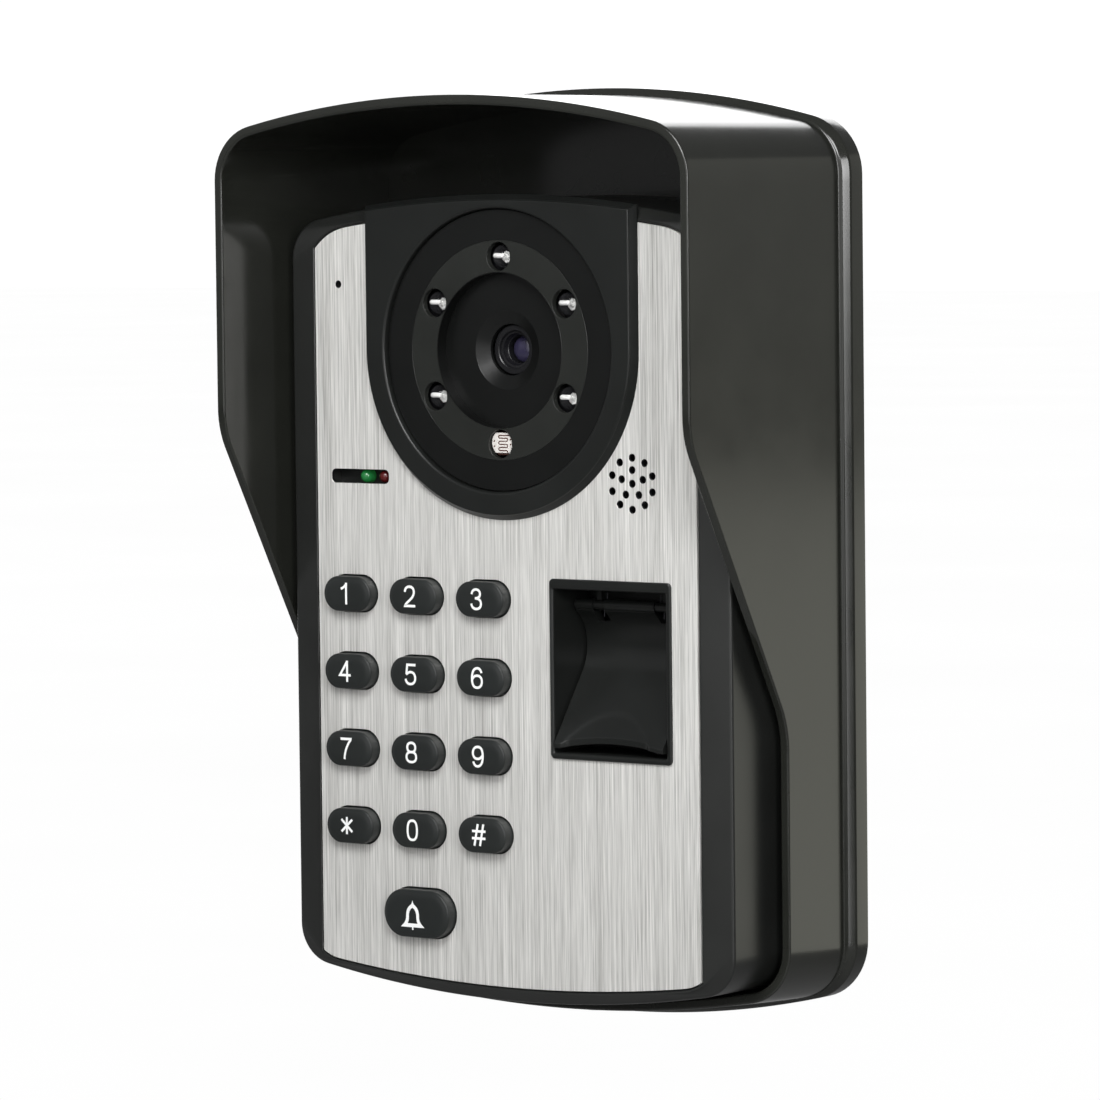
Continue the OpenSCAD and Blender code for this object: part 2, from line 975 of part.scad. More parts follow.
// Screw terminals that face the cable outlet
module terminal_block() {
  color([0.1, 0.45, 0.2])
    difference() {
      slab(6, main_board_back)
        translate([0, 35])
          square([30, 12], center = true);
      for (i = [-2.5 : 1 : 2.5]) {
        bar_y(i * 5, 37, 1.5, 5, 9);
        bar_y(i * 5, 31.8, 1, 5, 12);
      }
    }
}

// Flat cables from the camera and the keypad to the main board
module camera_ribbon() {
  color([0.85, 0.85, 0.82])
    slab(main_board_back + board_t, 24 - board_t)
      translate([0, cam_z - 12])
        square([12, 0.6], center = true);
}

module keypad_ribbon() {
  color([0.85, 0.85, 0.82])
    slab(main_board_back + board_t, keypad_board_back)
      translate([-22, -60])
        square([20, 0.6], center = true);
}

rain_hood();
lock_screw();
rear_cover();
case_gasket();
case_screws();
front_case();
face_plate();
camera_bezel();
camera_window();
lamp_ring();
lens_cone();
lens_barrel();
lens_glass();
lens_holder();
camera_board();
lamp_board();
infrared_lamps();
light_sensor();
status_lamp_green();
status_lamp_red();
status_lamp_baffle();
speaker_mesh();
speaker_gasket();
speaker();
microphone();
mic_boot();
fingerprint_frame();
fingerprint_flap();
flap_hinge_pin();
flap_spring();
sensor_glass();
sensor_module();
sensor_board();
keypad_mat();
keypad_board();
digit_key(0, 0);  // key_1
digit_key(1, 0);  // key_2
digit_key(2, 0);  // key_3
digit_key(0, 1);  // key_4
digit_key(1, 1);  // key_5
digit_key(2, 1);  // key_6
digit_key(0, 2);  // key_7
digit_key(1, 2);  // key_8
digit_key(2, 2);  // key_9
digit_key(0, 3);  // key_star
digit_key(1, 3);  // key_0
digit_key(2, 3);  // key_hash
bell_key();  // key_bell
main_board();
board_screws();
processor();
relay();
capacitors();
terminal_block();
camera_ribbon();
keypad_ribbon();
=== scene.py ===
"""Looks of the door intercom panel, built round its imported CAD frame.

Lengths inside this file are millimetres and become metres when a mesh is made.
+Z is up, the front faces -Y and the wall plane is Y = 0.
"""

import json
import math

import bmesh
import bpy
from mathutils import Matrix, Vector
from mathutils.geometry import tessellate_polygon


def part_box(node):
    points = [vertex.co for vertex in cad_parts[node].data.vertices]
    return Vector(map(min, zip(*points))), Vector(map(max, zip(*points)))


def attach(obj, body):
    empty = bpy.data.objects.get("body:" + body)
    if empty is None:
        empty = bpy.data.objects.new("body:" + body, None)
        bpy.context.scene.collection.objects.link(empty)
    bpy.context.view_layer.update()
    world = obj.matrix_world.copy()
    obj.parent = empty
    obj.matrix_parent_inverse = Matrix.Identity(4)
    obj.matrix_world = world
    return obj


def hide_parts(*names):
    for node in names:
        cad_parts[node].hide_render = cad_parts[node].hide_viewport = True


MM = 0.001
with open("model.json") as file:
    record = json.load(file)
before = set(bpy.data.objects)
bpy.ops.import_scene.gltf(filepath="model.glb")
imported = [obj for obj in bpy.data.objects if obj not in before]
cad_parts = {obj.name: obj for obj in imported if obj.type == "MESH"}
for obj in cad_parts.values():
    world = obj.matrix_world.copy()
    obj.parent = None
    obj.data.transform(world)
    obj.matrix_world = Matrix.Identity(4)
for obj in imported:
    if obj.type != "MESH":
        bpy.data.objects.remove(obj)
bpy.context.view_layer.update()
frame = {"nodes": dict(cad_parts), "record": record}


def box(node):
    """Corners of a CAD node in millimetres."""
    lo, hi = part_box(node)
    return lo / MM, hi / MM


# ---- outlines, the same arcs as the CAD: (half width, crown height, crown radius, corner radius) ----

hood_lo, hood_hi = box("rain_hood")
case_lo, case_hi = box("front_case")
plate_lo, plate_hi = box("face_plate")

FLANGE = (hood_hi.x, hood_hi.z, 235.0, 13.0)
HOOD_TOP = (63.3, 99.9, 244.0, 12.0)
HOOD_BOTTOM = (63.3, 98.4, 300.0, 12.0)
TRAY_BACK = (63.3, 100.0, 270.0, 12.0)
CASE_TOP = (case_hi.x, case_hi.z, 286.0, 9.0)
CASE_BOTTOM = (case_hi.x, -case_lo.z, 286.0, 9.0)
PLATE_TOP = (plate_hi.x + 3.5, 74.85, 290.0, 14.0)
PLATE_BOTTOM = (plate_hi.x + 5.0, -plate_lo.z, 356.0, 10.7)

HOOD_FRONT = hood_lo.y
TRAY_FRONT = -26.7
HOOD_WALL = 2.15
HOOD_BACK_WALL = -2.5
FLANGE_FRONT = -6.2
SLOPE_TOP = 28.0
SLOPE_BOTTOM = -34.0
SEAM = -13.5
SHOULDER = -40.7
CASE_WALL = 2.2
CASE_INNER_FRONT = -38.7
PLATE_FRONT = plate_lo.y
PLATE_BACK = plate_hi.y
PLATE_GAP = 0.35

SIDE_STEPS = 110
CORNER_STEPS = 12
CROWN_STEPS = 36


def arch(shape, inset=0.0):
    """Right half of an arched end from the side up to the crown, pulled in by inset."""
    w, crown, big_r, small_r = (v - inset for v in shape)
    cz = crown - big_r + math.sqrt((big_r - small_r) ** 2 - (w - small_r) ** 2)
    t = math.atan2(cz - crown + big_r, w - small_r)
    corner = [
        (w - small_r + small_r * math.cos(t * i / CORNER_STEPS), cz + small_r * math.sin(t * i / CORNER_STEPS))
        for i in range(CORNER_STEPS)
    ]
    span = math.pi / 2 - t
    crown_arc = [
        (big_r * math.cos(t + span * i / CROWN_STEPS), crown - big_r + big_r * math.sin(t + span * i / CROWN_STEPS))
        for i in range(CROWN_STEPS + 1)
    ]
    return corner + crown_arc


def resample(points, count):
    """The same line with count points spread evenly along it."""
    run = [0.0]
    for a, b in zip(points, points[1:]):
        run.append(run[-1] + math.dist(a, b))
    out, k = [], 0
    for i in range(count):
        d = run[-1] * i / (count - 1)
        while k < len(points) - 2 and run[k + 1] < d:
            k += 1
        f = (d - run[k]) / (run[k + 1] - run[k])
        out.append(tuple(p + (q - p) * f for p, q in zip(points[k], points[k + 1])))
    return out


def clipped_arch(shape, inset, half_w):
    """An arched end cut off by the straight side of the face plate."""
    line = arch(shape, inset)
    for i, (a, b) in enumerate(zip(line, line[1:])):
        if b[0] < half_w:
            f = (a[0] - half_w) / (a[0] - b[0])
            return resample([(half_w, a[1] + (b[1] - a[1]) * f)] + line[i + 1:], len(line))
    return line


def close_loop(top, bottom):
    """Closed loop, anticlockwise seen from the front, from two half arches."""
    w_b, z_b = bottom[0][0], -bottom[0][1]
    w_t, z_t = top[0]
    steps = range(SIDE_STEPS)
    right = [(w_b + (w_t - w_b) * i / SIDE_STEPS, z_b + (z_t - z_b) * i / SIDE_STEPS) for i in steps]
    left = [(-x, z) for x, z in reversed(right[1:])]
    return (
        right + top + [(-x, z) for x, z in reversed(top[:-1])]
        + left + [(-x, -z) for x, z in bottom] + [(x, -z) for x, z in reversed(bottom[1:-1])]
    )


def outline(top, bottom, inset=0.0):
    return close_loop(arch(top, inset), arch(bottom, inset))


def plate_outline(grow=0.0):
    half_w = plate_hi.x + grow
    return close_loop(clipped_arch(PLATE_TOP, -grow, half_w), clipped_arch(PLATE_BOTTOM, -grow, half_w))


def ring(cx, cz, r, steps=96):
    return [
        (cx + r * math.cos(2 * math.pi * i / steps), cz + r * math.sin(2 * math.pi * i / steps))
        for i in range(steps)
    ]


def pill(cx, cz, w, h, steps=24):
    """Long round-ended loop."""
    r, d = h / 2, (w - h) / 2
    right = [(cx + d + r * math.sin(math.pi * i / steps), cz - r * math.cos(math.pi * i / steps)) for i in range(steps + 1)]
    return right + [(2 * cx - x, 2 * cz - z) for x, z in right]


def rect(x0, x1, z0, z1, r, steps=6):
    """Rounded rectangle."""
    out = []
    for cx, cz, a0 in ((x1 - r, z0 + r, -90), (x1 - r, z1 - r, 0), (x0 + r, z1 - r, 90), (x0 + r, z0 + r, 180)):
        for i in range(steps + 1):
            a = math.radians(a0 + 90 * i / steps)
            out.append((cx + r * math.cos(a), cz + r * math.sin(a)))
    return out


def grown(loop, d):
    """The loop moved outwards by d, each point along its mitre."""
    out, n = [], len(loop)
    for i, p in enumerate(loop):
        a, b = Vector(p) - Vector(loop[i - 1]), Vector(loop[(i + 1) % n]) - Vector(p)
        na, nb = Vector((a.y, -a.x)).normalized(), Vector((b.y, -b.x)).normalized()
        m = (na + nb).normalized()
        out.append(tuple(Vector(p) + m * (d / max(0.4, m.dot(na)))))
    return out


# ---- mesh building ----

class Skin:
    """Collects loops of points and the faces between them."""

    def __init__(self):
        self.points = []
        self.faces = []

    def ring(self, loop, y):
        """Adds a loop of (x, z) at depth y, which is a number or a function of z."""
        start = len(self.points)
        self.points += [(x, y(z) if callable(y) else y, z) for x, z in loop]
        return list(range(start, len(self.points)))

    def line(self, points):
        start = len(self.points)
        self.points += points
        return list(range(start, len(self.points)))

    def wall(self, a, b, closed=True):
        n = len(a)
        for i in range(n if closed else n - 1):
            j = (i + 1) % n
            self.faces.append((a[i], a[j], b[j], b[i]))

    def walls(self, rings, closed=True):
        for a, b in zip(rings, rings[1:]):
            self.wall(a, b, closed)
        return rings[-1]

    def cap(self, *rings):
        """Fills a flat face with any holes in it."""
        flat = [i for r in rings for i in r]
        loops = [[Vector((self.points[i][0], self.points[i][2], 0)) for i in r] for r in rings]
        for tri in tessellate_polygon(loops):
            self.faces.append(tuple(flat[k] for k in tri))

    def fan(self, loop):
        self.faces.append(tuple(loop))

    def piece(self, name, material, body="panel", slot=None, nodes=(), angle=32.0):
        mesh = bpy.data.meshes.new(name)
        mesh.from_pydata([tuple(c * MM for c in p) for p in self.points], [], self.faces)
        bm = bmesh.new()
        bm.from_mesh(mesh)
        bmesh.ops.remove_doubles(bm, verts=bm.verts, dist=1e-8)
        bmesh.ops.recalc_face_normals(bm, faces=bm.faces)
        for f in bm.faces:
            f.smooth = True
        for e in bm.edges:
            e.smooth = e.calc_face_angle(0.0) < math.radians(angle)
        bm.to_mesh(mesh)
        bm.free()
        obj = bpy.data.objects.new(name, mesh)
        bpy.context.scene.collection.objects.link(obj)
        obj.data.materials.append(material)
        soften = obj.modifiers.new("normals", "WEIGHTED_NORMAL")
        soften.keep_sharp = True
        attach(obj, body)
        if nodes:
            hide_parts(*nodes)
        return obj


def edge_rings(skin, shape, y_side, y_face, r, steps=4, inner=False):
    """Rings of a rounded edge between a side and a face. shape(inset) gives the loop, and r is the edge radius."""
    out = []
    toward = 1 if y_face > y_side else -1
    for i in range(steps + 1):
        a = math.pi / 2 * i / steps
        inset = r * (1 - math.cos(a))
        out.append(skin.ring(shape(inset), y_face - toward * r * (1 - math.sin(a))))
    return out


def lathe(skin, cx, cz, profile, steps=96, closed=True):
    """Turns (radius, y) points round an axis along Y."""
    rings = [skin.ring(ring(cx, cz, max(r, 1e-4), steps), y) for r, y in profile]
    skin.walls(rings)
    if closed:
        skin.wall(rings[-1], rings[0])
    else:
        skin.fan(rings[0])
        skin.fan(rings[-1])
    return skin


def extrude_x(skin, loop, x0, x1):
    """Prism along X from a closed (y, z) loop."""
    a = skin.line([(x0, y, z) for y, z in loop])
    b = skin.line([(x1, y, z) for y, z in loop])
    skin.wall(a, b)
    skin.fan(a)
    skin.fan(b)
    return skin


# ---- materials ----

def node_material(name):
    mat = bpy.data.materials.new(name)
    mat.use_nodes = True
    tree = mat.node_tree
    shader = tree.nodes["Principled BSDF"]
    coords = tree.nodes.new("ShaderNodeTexCoord")
    return mat, tree, shader, coords.outputs["Object"]


def noise(tree, coords, scale, detail=4.0, stretch=(1, 1, 1), rough=0.55):
    """Noise in object space, scale in cells a metre, stretched along the axes."""
    place = tree.nodes.new("ShaderNodeMapping")
    place.inputs["Scale"].default_value = tuple(scale * s for s in stretch)
    tree.links.new(coords, place.inputs["Vector"])
    tex = tree.nodes.new("ShaderNodeTexNoise")
    tex.inputs["Scale"].default_value = 1.0
    tex.inputs["Detail"].default_value = detail
    tex.inputs["Roughness"].default_value = rough
    tree.links.new(place.outputs["Vector"], tex.inputs["Vector"])
    return tex.outputs["Fac"]


def ramp(tree, value, stops):
    node = tree.nodes.new("ShaderNodeValToRGB")
    node.color_ramp.elements[0].position = stops[0][0]
    node.color_ramp.elements[0].color = (*stops[0][1], 1)
    node.color_ramp.elements[1].position = stops[-1][0]
    node.color_ramp.elements[1].color = (*stops[-1][1], 1)
    for pos, col in stops[1:-1]:
        node.color_ramp.elements.new(pos).color = (*col, 1)
    tree.links.new(value, node.inputs["Fac"])
    return node.outputs["Color"]


def spread(tree, value, low, high):
    node = tree.nodes.new("ShaderNodeMapRange")
    node.inputs["To Min"].default_value = low
    node.inputs["To Max"].default_value = high
    tree.links.new(value, node.inputs["Value"])
    return node.outputs["Result"]


def bump(tree, shader, height, strength, distance):
    node = tree.nodes.new("ShaderNodeBump")
    node.inputs["Strength"].default_value = strength
    node.inputs["Distance"].default_value = distance
    tree.links.new(height, node.inputs["Height"])
    tree.links.new(node.outputs["Normal"], shader.inputs["Normal"])


def plastic(name, color, roughness, grain=2500.0, relief=0.00002, cloud=0.12, spec=0.35, coat=0.0, tint=(1, 1, 1)):
    """Moulded plastic: fine spark-eroded grain, faint cloudy colour and uneven gloss."""
    mat, tree, shader, coords = node_material(name)
    clouds = noise(tree, coords, 60.0, 3.0)
    dark = [c * (1 - cloud) for c in color]
    light = [c * (1 + cloud) * t for c, t in zip(color, tint)]
    tree.links.new(ramp(tree, clouds, [(0.3, dark), (0.7, light)]), shader.inputs["Base Color"])
    fine = noise(tree, coords, grain, 2.0)
    tree.links.new(spread(tree, clouds, roughness - 0.05, roughness + 0.05), shader.inputs["Roughness"])
    shader.inputs["Specular IOR Level"].default_value = spec
    shader.inputs["Coat Weight"].default_value = coat
    shader.inputs["Coat Roughness"].default_value = 0.08
    if relief:
        bump(tree, shader, fine, 0.35, relief)
    return mat


def metal(name, color, roughness):
    mat, tree, shader, coords = node_material(name)
    shader.inputs["Metallic"].default_value = 1.0
    clouds = noise(tree, coords, 400.0, 4.0)
    tree.links.new(
        ramp(tree, clouds, [(0.3, [c * 0.85 for c in color]), (0.7, color)]), shader.inputs["Base Color"]
    )
    tree.links.new(spread(tree, clouds, roughness - 0.06, roughness + 0.1), shader.inputs["Roughness"])
    return mat


def brushed():
    """Aluminium brushed along Z: broad bands, fine streaks and short scratches."""
    mat, tree, shader, coords = node_material("brushed_aluminium")
    broad = noise(tree, coords, 260.0, 3.0, (1, 0, 0.006), 0.6)
    fine = noise(tree, coords, 2400.0, 3.0, (1, 0, 0.007), 0.7)
    short = noise(tree, coords, 5200.0, 2.0, (1, 0, 0.014), 0.7)
    mix = tree.nodes.new("ShaderNodeMath")
    mix.operation = "MULTIPLY_ADD"
    mix.inputs[1].default_value = 0.3
    tree.links.new(broad, mix.inputs[0])
    mix2 = tree.nodes.new("ShaderNodeMath")
    mix2.operation = "MULTIPLY_ADD"
    mix2.inputs[1].default_value = 0.7
    tree.links.new(fine, mix2.inputs[0])
    half = tree.nodes.new("ShaderNodeMath")
    half.operation = "MULTIPLY"
    half.inputs[1].default_value = 0.55
    tree.links.new(short, half.inputs[0])
    tree.links.new(half.outputs[0], mix2.inputs[2])
    tree.links.new(mix2.outputs[0], mix.inputs[2])
    streaks = mix.outputs[0]
    tree.links.new(
        ramp(tree, streaks, [(0.56, (0.36, 0.355, 0.335)), (0.77, (0.68, 0.675, 0.65)), (0.95, (0.95, 0.94, 0.91))]),
        shader.inputs["Base Color"],
    )
    tree.links.new(spread(tree, streaks, 0.46, 0.3), shader.inputs["Roughness"])
    shader.inputs["Metallic"].default_value = 0.35
    shader.inputs["Anisotropic"].default_value = 0.5
    bump(tree, shader, fine, 0.25, 0.00003)
    return mat


def clear(name, color, rough=0.03):
    """Clear moulding: see-through face on, glossy towards its edges."""
    mat, tree, shader, coords = node_material(name)
    smudge = noise(tree, coords, 500.0, 2.0)
    tree.links.new(spread(tree, smudge, rough, rough + 0.03), shader.inputs["Roughness"])
    tree.links.new(
        ramp(tree, smudge, [(0.2, [c * 0.9 for c in color]), (0.8, color)]), shader.inputs["Base Color"]
    )
    rim = tree.nodes.new("ShaderNodeLayerWeight")
    rim.inputs["Blend"].default_value = 0.25
    tree.links.new(spread(tree, rim.outputs["Facing"], 0.06, 0.6), shader.inputs["Alpha"])
    shader.inputs["Specular IOR Level"].default_value = 0.9
    return mat


def glowing(name, color, glow, strength):
    mat = plastic(name, color, 0.12, relief=0, cloud=0.1, coat=0.5)
    shader = mat.node_tree.nodes["Principled BSDF"]
    shader.inputs["Emission Color"].default_value = (*glow, 1)
    shader.inputs["Emission Strength"].default_value = strength
    return mat


MATERIALS = {
    "hood_plastic": plastic("hood_plastic", (0.015, 0.0158, 0.0133), 0.15, spec=0.5, relief=0.000004),
    "case_plastic": plastic("case_plastic", (0.013, 0.0137, 0.0128), 0.3, spec=0.5, relief=0.00001),
    "brushed_aluminium": brushed(),
    "panel_plastic": plastic("panel_plastic", (0.009, 0.0098, 0.0092), 0.33, relief=0.00001),
    "window_black": plastic("window_black", (0.0045, 0.0048, 0.0046), 0.3, relief=0, spec=0.3),
    "lamp_ring_grey": plastic("lamp_ring_grey", (0.015, 0.016, 0.0145), 0.3, relief=0, spec=0.3),
    "key_rubber": plastic("key_rubber", (0.014, 0.016, 0.0155), 0.42, grain=4000.0),
    "seal_rubber": plastic("seal_rubber", (0.03, 0.03, 0.03), 0.8),
    "lens_black": plastic("lens_black", (0.008, 0.008, 0.009), 0.28, relief=0),
    "coated_glass": plastic("coated_glass", (0.026, 0.023, 0.05), 0.2, relief=0, spec=0.5),
    "clear_lamp": clear("clear_lamp", (0.06, 0.06, 0.065)),
    "photocell": plastic("photocell", (0.66, 0.63, 0.60), 0.3, relief=0, coat=0.8),
    "green_lamp": glowing("green_lamp", (0.012, 0.13, 0.035), (0.06, 0.8, 0.12), 0.04),
    "red_lamp": plastic("red_lamp", (0.08, 0.007, 0.007), 0.15, relief=0, coat=0.5),
    "circuit_board": plastic("circuit_board", (0.02, 0.12, 0.05), 0.4),
    "steel": metal("steel", (0.62, 0.62, 0.64), 0.3),
    "dark_steel": metal("dark_steel", (0.05, 0.05, 0.055), 0.4),
    "mesh_black": plastic("mesh_black", (0.01, 0.01, 0.01), 0.8, grain=5000.0, relief=0.0001),
    "chip_black": plastic("chip_black", (0.02, 0.02, 0.022), 0.5),
    "relay_blue": plastic("relay_blue", (0.03, 0.08, 0.28), 0.3),
    "terminal_green": plastic("terminal_green", (0.03, 0.22, 0.08), 0.4),
    "ribbon_white": plastic("ribbon_white", (0.7, 0.7, 0.66), 0.5),
}
LEGEND = plastic("legend_white", (0.86, 0.87, 0.86), 0.5, relief=0, cloud=0.04)
TRACK = plastic("track_red", (0.07, 0.03, 0.022), 0.4, relief=0)
# Near-white plastic for the lamps' reflector cups and the bars inside the domes: the white is painted reflection,
# standing in for bright lights mirrored in the silver cups.
CUP_AND_GLINT_WHITE = plastic("cup_silver_and_painted_glint", (0.9, 0.9, 0.88), 0.2, relief=0, cloud=0.1, spec=0.8)

for sub in frame["record"]["subparts"]:
    node = frame["nodes"][sub["node"]]
    node.data.materials.clear()
    node.data.materials.append(MATERIALS[sub["material_slot"]])


# ---- rain hood ----

def rounded_bend(p0, p1, p2, r, steps=12):
    """Arc that rounds the corner p1 of a line from p0 to p2."""
    p0, p1, p2 = Vector(p0), Vector(p1), Vector(p2)
    a, b = (p0 - p1).normalized(), (p2 - p1).normalized()
    half = a.angle(b) / 2
    c = p1 + (a + b).normalized() * (r / math.sin(half))
    s, e = p1 + a * (r / math.tan(half)) - c, p1 + b * (r / math.tan(half)) - c
    a0 = math.atan2(s.y, s.x)
    turn = (math.atan2(e.y, e.x) - a0 + math.pi) % (2 * math.pi) - math.pi
    return [(c.x + r * math.cos(a0 + turn * i / steps), c.y + r * math.sin(a0 + turn * i / steps)) for i in range(steps + 1)]


rim_bend_top, rim_bend_bottom = (HOOD_FRONT, SLOPE_TOP), (TRAY_FRONT, SLOPE_BOTTOM)
RIM = (
    [(HOOD_FRONT, 200.0)]
    + rounded_bend((HOOD_FRONT, 100.0), rim_bend_top, rim_bend_bottom, 18.0)
    + rounded_bend(rim_bend_top, rim_bend_bottom, (TRAY_FRONT, -120.0), 20.0)
    + [(TRAY_FRONT, -200.0)]
)


def rim_y(z):
    """Depth of the hood's rim at a height."""
    for (ya, za), (yb, zb) in zip(RIM, RIM[1:]):
        if zb <= z <= za:
            return ya + (yb - ya) * (za - z) / (za - zb)
    return TRAY_FRONT


RIM_EDGE = 0.5
FLANGE_CHAMFER = ((0.0, 1.85), (0.03, 1.65), (0.12, 1.45), (0.28, 1.25), (1.25, 0.28), (1.45, 0.12), (1.65, 0.03), (1.8, 0.0))
STEP_FILLET = 0.5

skin = Skin()


def flange_loop(inset):
    return outline(FLANGE, FLANGE, inset)


rings = [skin.ring(flange_loop(0.5), 0.0), skin.ring(flange_loop(0.15), -0.15), skin.ring(flange_loop(0.0), -0.5)]
rings += [skin.ring(flange_loop(d), FLANGE_FRONT + rise) for d, rise in FLANGE_CHAMFER]
rings.append(skin.ring(outline(HOOD_TOP, TRAY_BACK, -STEP_FILLET), FLANGE_FRONT))
for i in (1, 2, 3):
    turn = math.pi / 2 * i / 3
    out = STEP_FILLET * (1 - math.sin(turn))
    rings.append(skin.ring(outline(HOOD_TOP, TRAY_BACK, -out), FLANGE_FRONT - STEP_FILLET * (1 - math.cos(turn))))
for i in range(6):
    turn = math.pi / 2 * i / 5
    lift = RIM_EDGE * (1 - math.sin(turn))
    rings.append(skin.ring(outline(HOOD_TOP, HOOD_BOTTOM, RIM_EDGE * (1 - math.cos(turn))), lambda z, d=lift: rim_y(z) + d))
for i in range(5, -1, -1):
    turn = math.pi / 2 * i / 5
    lift = RIM_EDGE * (1 - math.sin(turn))
    inset = HOOD_WALL - RIM_EDGE * (1 - math.cos(turn))
    rings.append(skin.ring(outline(HOOD_TOP, HOOD_BOTTOM, inset), lambda z, d=lift: rim_y(z) + d))
rings.append(skin.ring(outline(HOOD_TOP, TRAY_BACK, HOOD_WALL), HOOD_BACK_WALL))
skin.walls(rings)

SCREW_X, SCREW_Z, SCREW_R = 30.0, 75.0, 2.25
OUTLET = (-20.0, 20.0, 15.0, 55.0)
wall_holes = [ring(sx * SCREW_X, sz * SCREW_Z, SCREW_R, 32) for sx in (-1, 1) for sz in (-1, 1)]
wall_holes.append(rect(*OUTLET, 4.0))
back = [skin.ring(h, 0.0) for h in wall_holes]
front = [skin.ring(h, HOOD_BACK_WALL) for h in wall_holes]
for a, b in zip(back, front):
    skin.wall(a, b)
skin.cap(rings[0], *back)
skin.cap(rings[-1], *front)
skin.piece("hood", MATERIALS["hood_plastic"], slot="hood_plastic", nodes=["rain_hood"])


# ---- openings shared by the case and the face plate ----

KEYS = [
    "key_1", "key_2", "key_3", "key_4", "key_5", "key_6", "key_7", "key_8", "key_9", "key_star", "key_0",
    "key_hash", "key_bell",
]
KEY_SKIRT = 1.5
KEY_GAP_X, KEY_GAP_Z = 0.95, 0.5
BELL_EXTRA = 1.0
key_caps = {}
for name in KEYS:
    lo, hi = box(name)
    w, h = hi.x - lo.x - 2 * KEY_SKIRT, hi.z - lo.z - 2 * KEY_SKIRT
    if name == "key_bell":
        w += BELL_EXTRA
    key_caps[name] = ((lo.x + hi.x) / 2, (lo.z + hi.z) / 2, w, h)
key_holes = [pill(x, z, w + 2 * KEY_GAP_X, h + 2 * KEY_GAP_Z) for x, z, w, h in key_caps.values()]

lens_lo, lens_hi = box("lens_cone")
CAM_X, CAM_Z = (lens_lo.x + lens_hi.x) / 2, (lens_lo.z + lens_hi.z) / 2
RECESS_R = 30.4
bezel_lo, bezel_hi = box("camera_bezel")
BEZEL_R = bezel_hi.x
NOTCH_R = BEZEL_R - 2.0

speaker_lo, speaker_hi = box("speaker_mesh")
SPEAKER_X, SPEAKER_Z = (speaker_lo.x + speaker_hi.x) / 2, (speaker_lo.z + speaker_hi.z) / 2
mic_lo, mic_hi = box("mic_boot")
MIC_X, MIC_Z = (mic_lo.x + mic_hi.x) / 2, (mic_lo.z + mic_hi.z) / 2
SOUND_R = 0.85
SOUND_RINGS = ((0.0, 1), (2.9, 5), (5.5, 10))
baffle_lo, baffle_hi = box("status_lamp_baffle")
STATUS_X, STATUS_Z = (baffle_lo.x + baffle_hi.x) / 2, (baffle_lo.z + baffle_hi.z) / 2
STATUS_W, STATUS_H = 15.9, 3.1
reader_lo, reader_hi = box("fingerprint_frame")
READER_LAP = 0.45


def reader_rect(inset, r):
    return rect(reader_lo.x + inset, reader_hi.x - inset, reader_lo.z + inset, reader_hi.z - inset, r)


def slot_rect(grow, r):
    w, h = STATUS_W / 2 + grow, STATUS_H / 2 + grow
    return rect(STATUS_X - w, STATUS_X + w, STATUS_Z - h, STATUS_Z + h, r)


# ---- front case ----

SHOULDER_R = 0.8
skin = Skin()


def case_loop(inset):
    return outline(CASE_TOP, CASE_BOTTOM, inset)


rings = [skin.ring(case_loop(0.4), SEAM), skin.ring(case_loop(0.1), SEAM - 0.1), skin.ring(case_loop(0.0), SEAM - 0.4)]
for i in range(6):
    turn = math.radians(80 * i / 5)
    inset, y = SHOULDER_R * (1 - math.cos(turn)), SHOULDER + SHOULDER_R * (1 - math.sin(turn))
    rings.append(skin.ring(case_loop(inset), y))
rings.append(skin.ring(plate_outline(0.75), PLATE_FRONT + 0.02))
rings.append(skin.ring(plate_outline(PLATE_GAP + 0.1), PLATE_FRONT + 0.08))
rings.append(skin.ring(plate_outline(PLATE_GAP), PLATE_FRONT + 0.2))
rings.append(skin.ring(plate_outline(PLATE_GAP), PLATE_BACK))
skin.walls(rings)
openings = key_holes + [
    ring(CAM_X, CAM_Z, 29.2),
    ring(SPEAKER_X, SPEAKER_Z, 7.5),
    ring(MIC_X, MIC_Z, SOUND_R, 24),
    slot_rect(0.1, 1.2),
    reader_rect(READER_LAP, 0.5),
]
upper = [skin.ring(h, PLATE_BACK) for h in openings]
lower = [skin.ring(h, CASE_INNER_FRONT) for h in openings]
for a, b in zip(upper, lower):
    skin.wall(a, b)
skin.cap(rings[-1], *upper)
inner = skin.ring(case_loop(CASE_WALL), CASE_INNER_FRONT)
skin.cap(inner, *lower)
skin.wall(inner, skin.ring(case_loop(CASE_WALL), SEAM))
skin.wall(list(range(len(skin.points) - len(inner), len(skin.points))), rings[0])
skin.piece("case", MATERIALS["case_plastic"], slot="case_plastic", nodes=["front_case"])


# ---- face plate ----

def notched_plate(grow=0.0):
    """The plate's outline with the camera panel's notch in its top edge."""
    loop = plate_outline(grow)
    r = NOTCH_R - grow
    keep = [p for p in loop if not (abs(p[0]) < r and p[1] > 0)]
    cut = next(i for i, (a, b) in enumerate(zip(keep, keep[1:])) if a[0] > 0 and b[0] < 0 and a[1] > 60)
    crown = PLATE_TOP[1] + grow - (PLATE_TOP[2] + grow)
    z = crown + math.sqrt((PLATE_TOP[2] + grow) ** 2 - r * r)
    bowl = [
        (r * math.cos(math.pi * i / 72), CAM_Z - r * math.sin(math.pi * i / 72)) for i in range(73)
    ]
    return keep[: cut + 1] + [(r, z)] + bowl + [(-r, z)] + keep[cut + 1:]


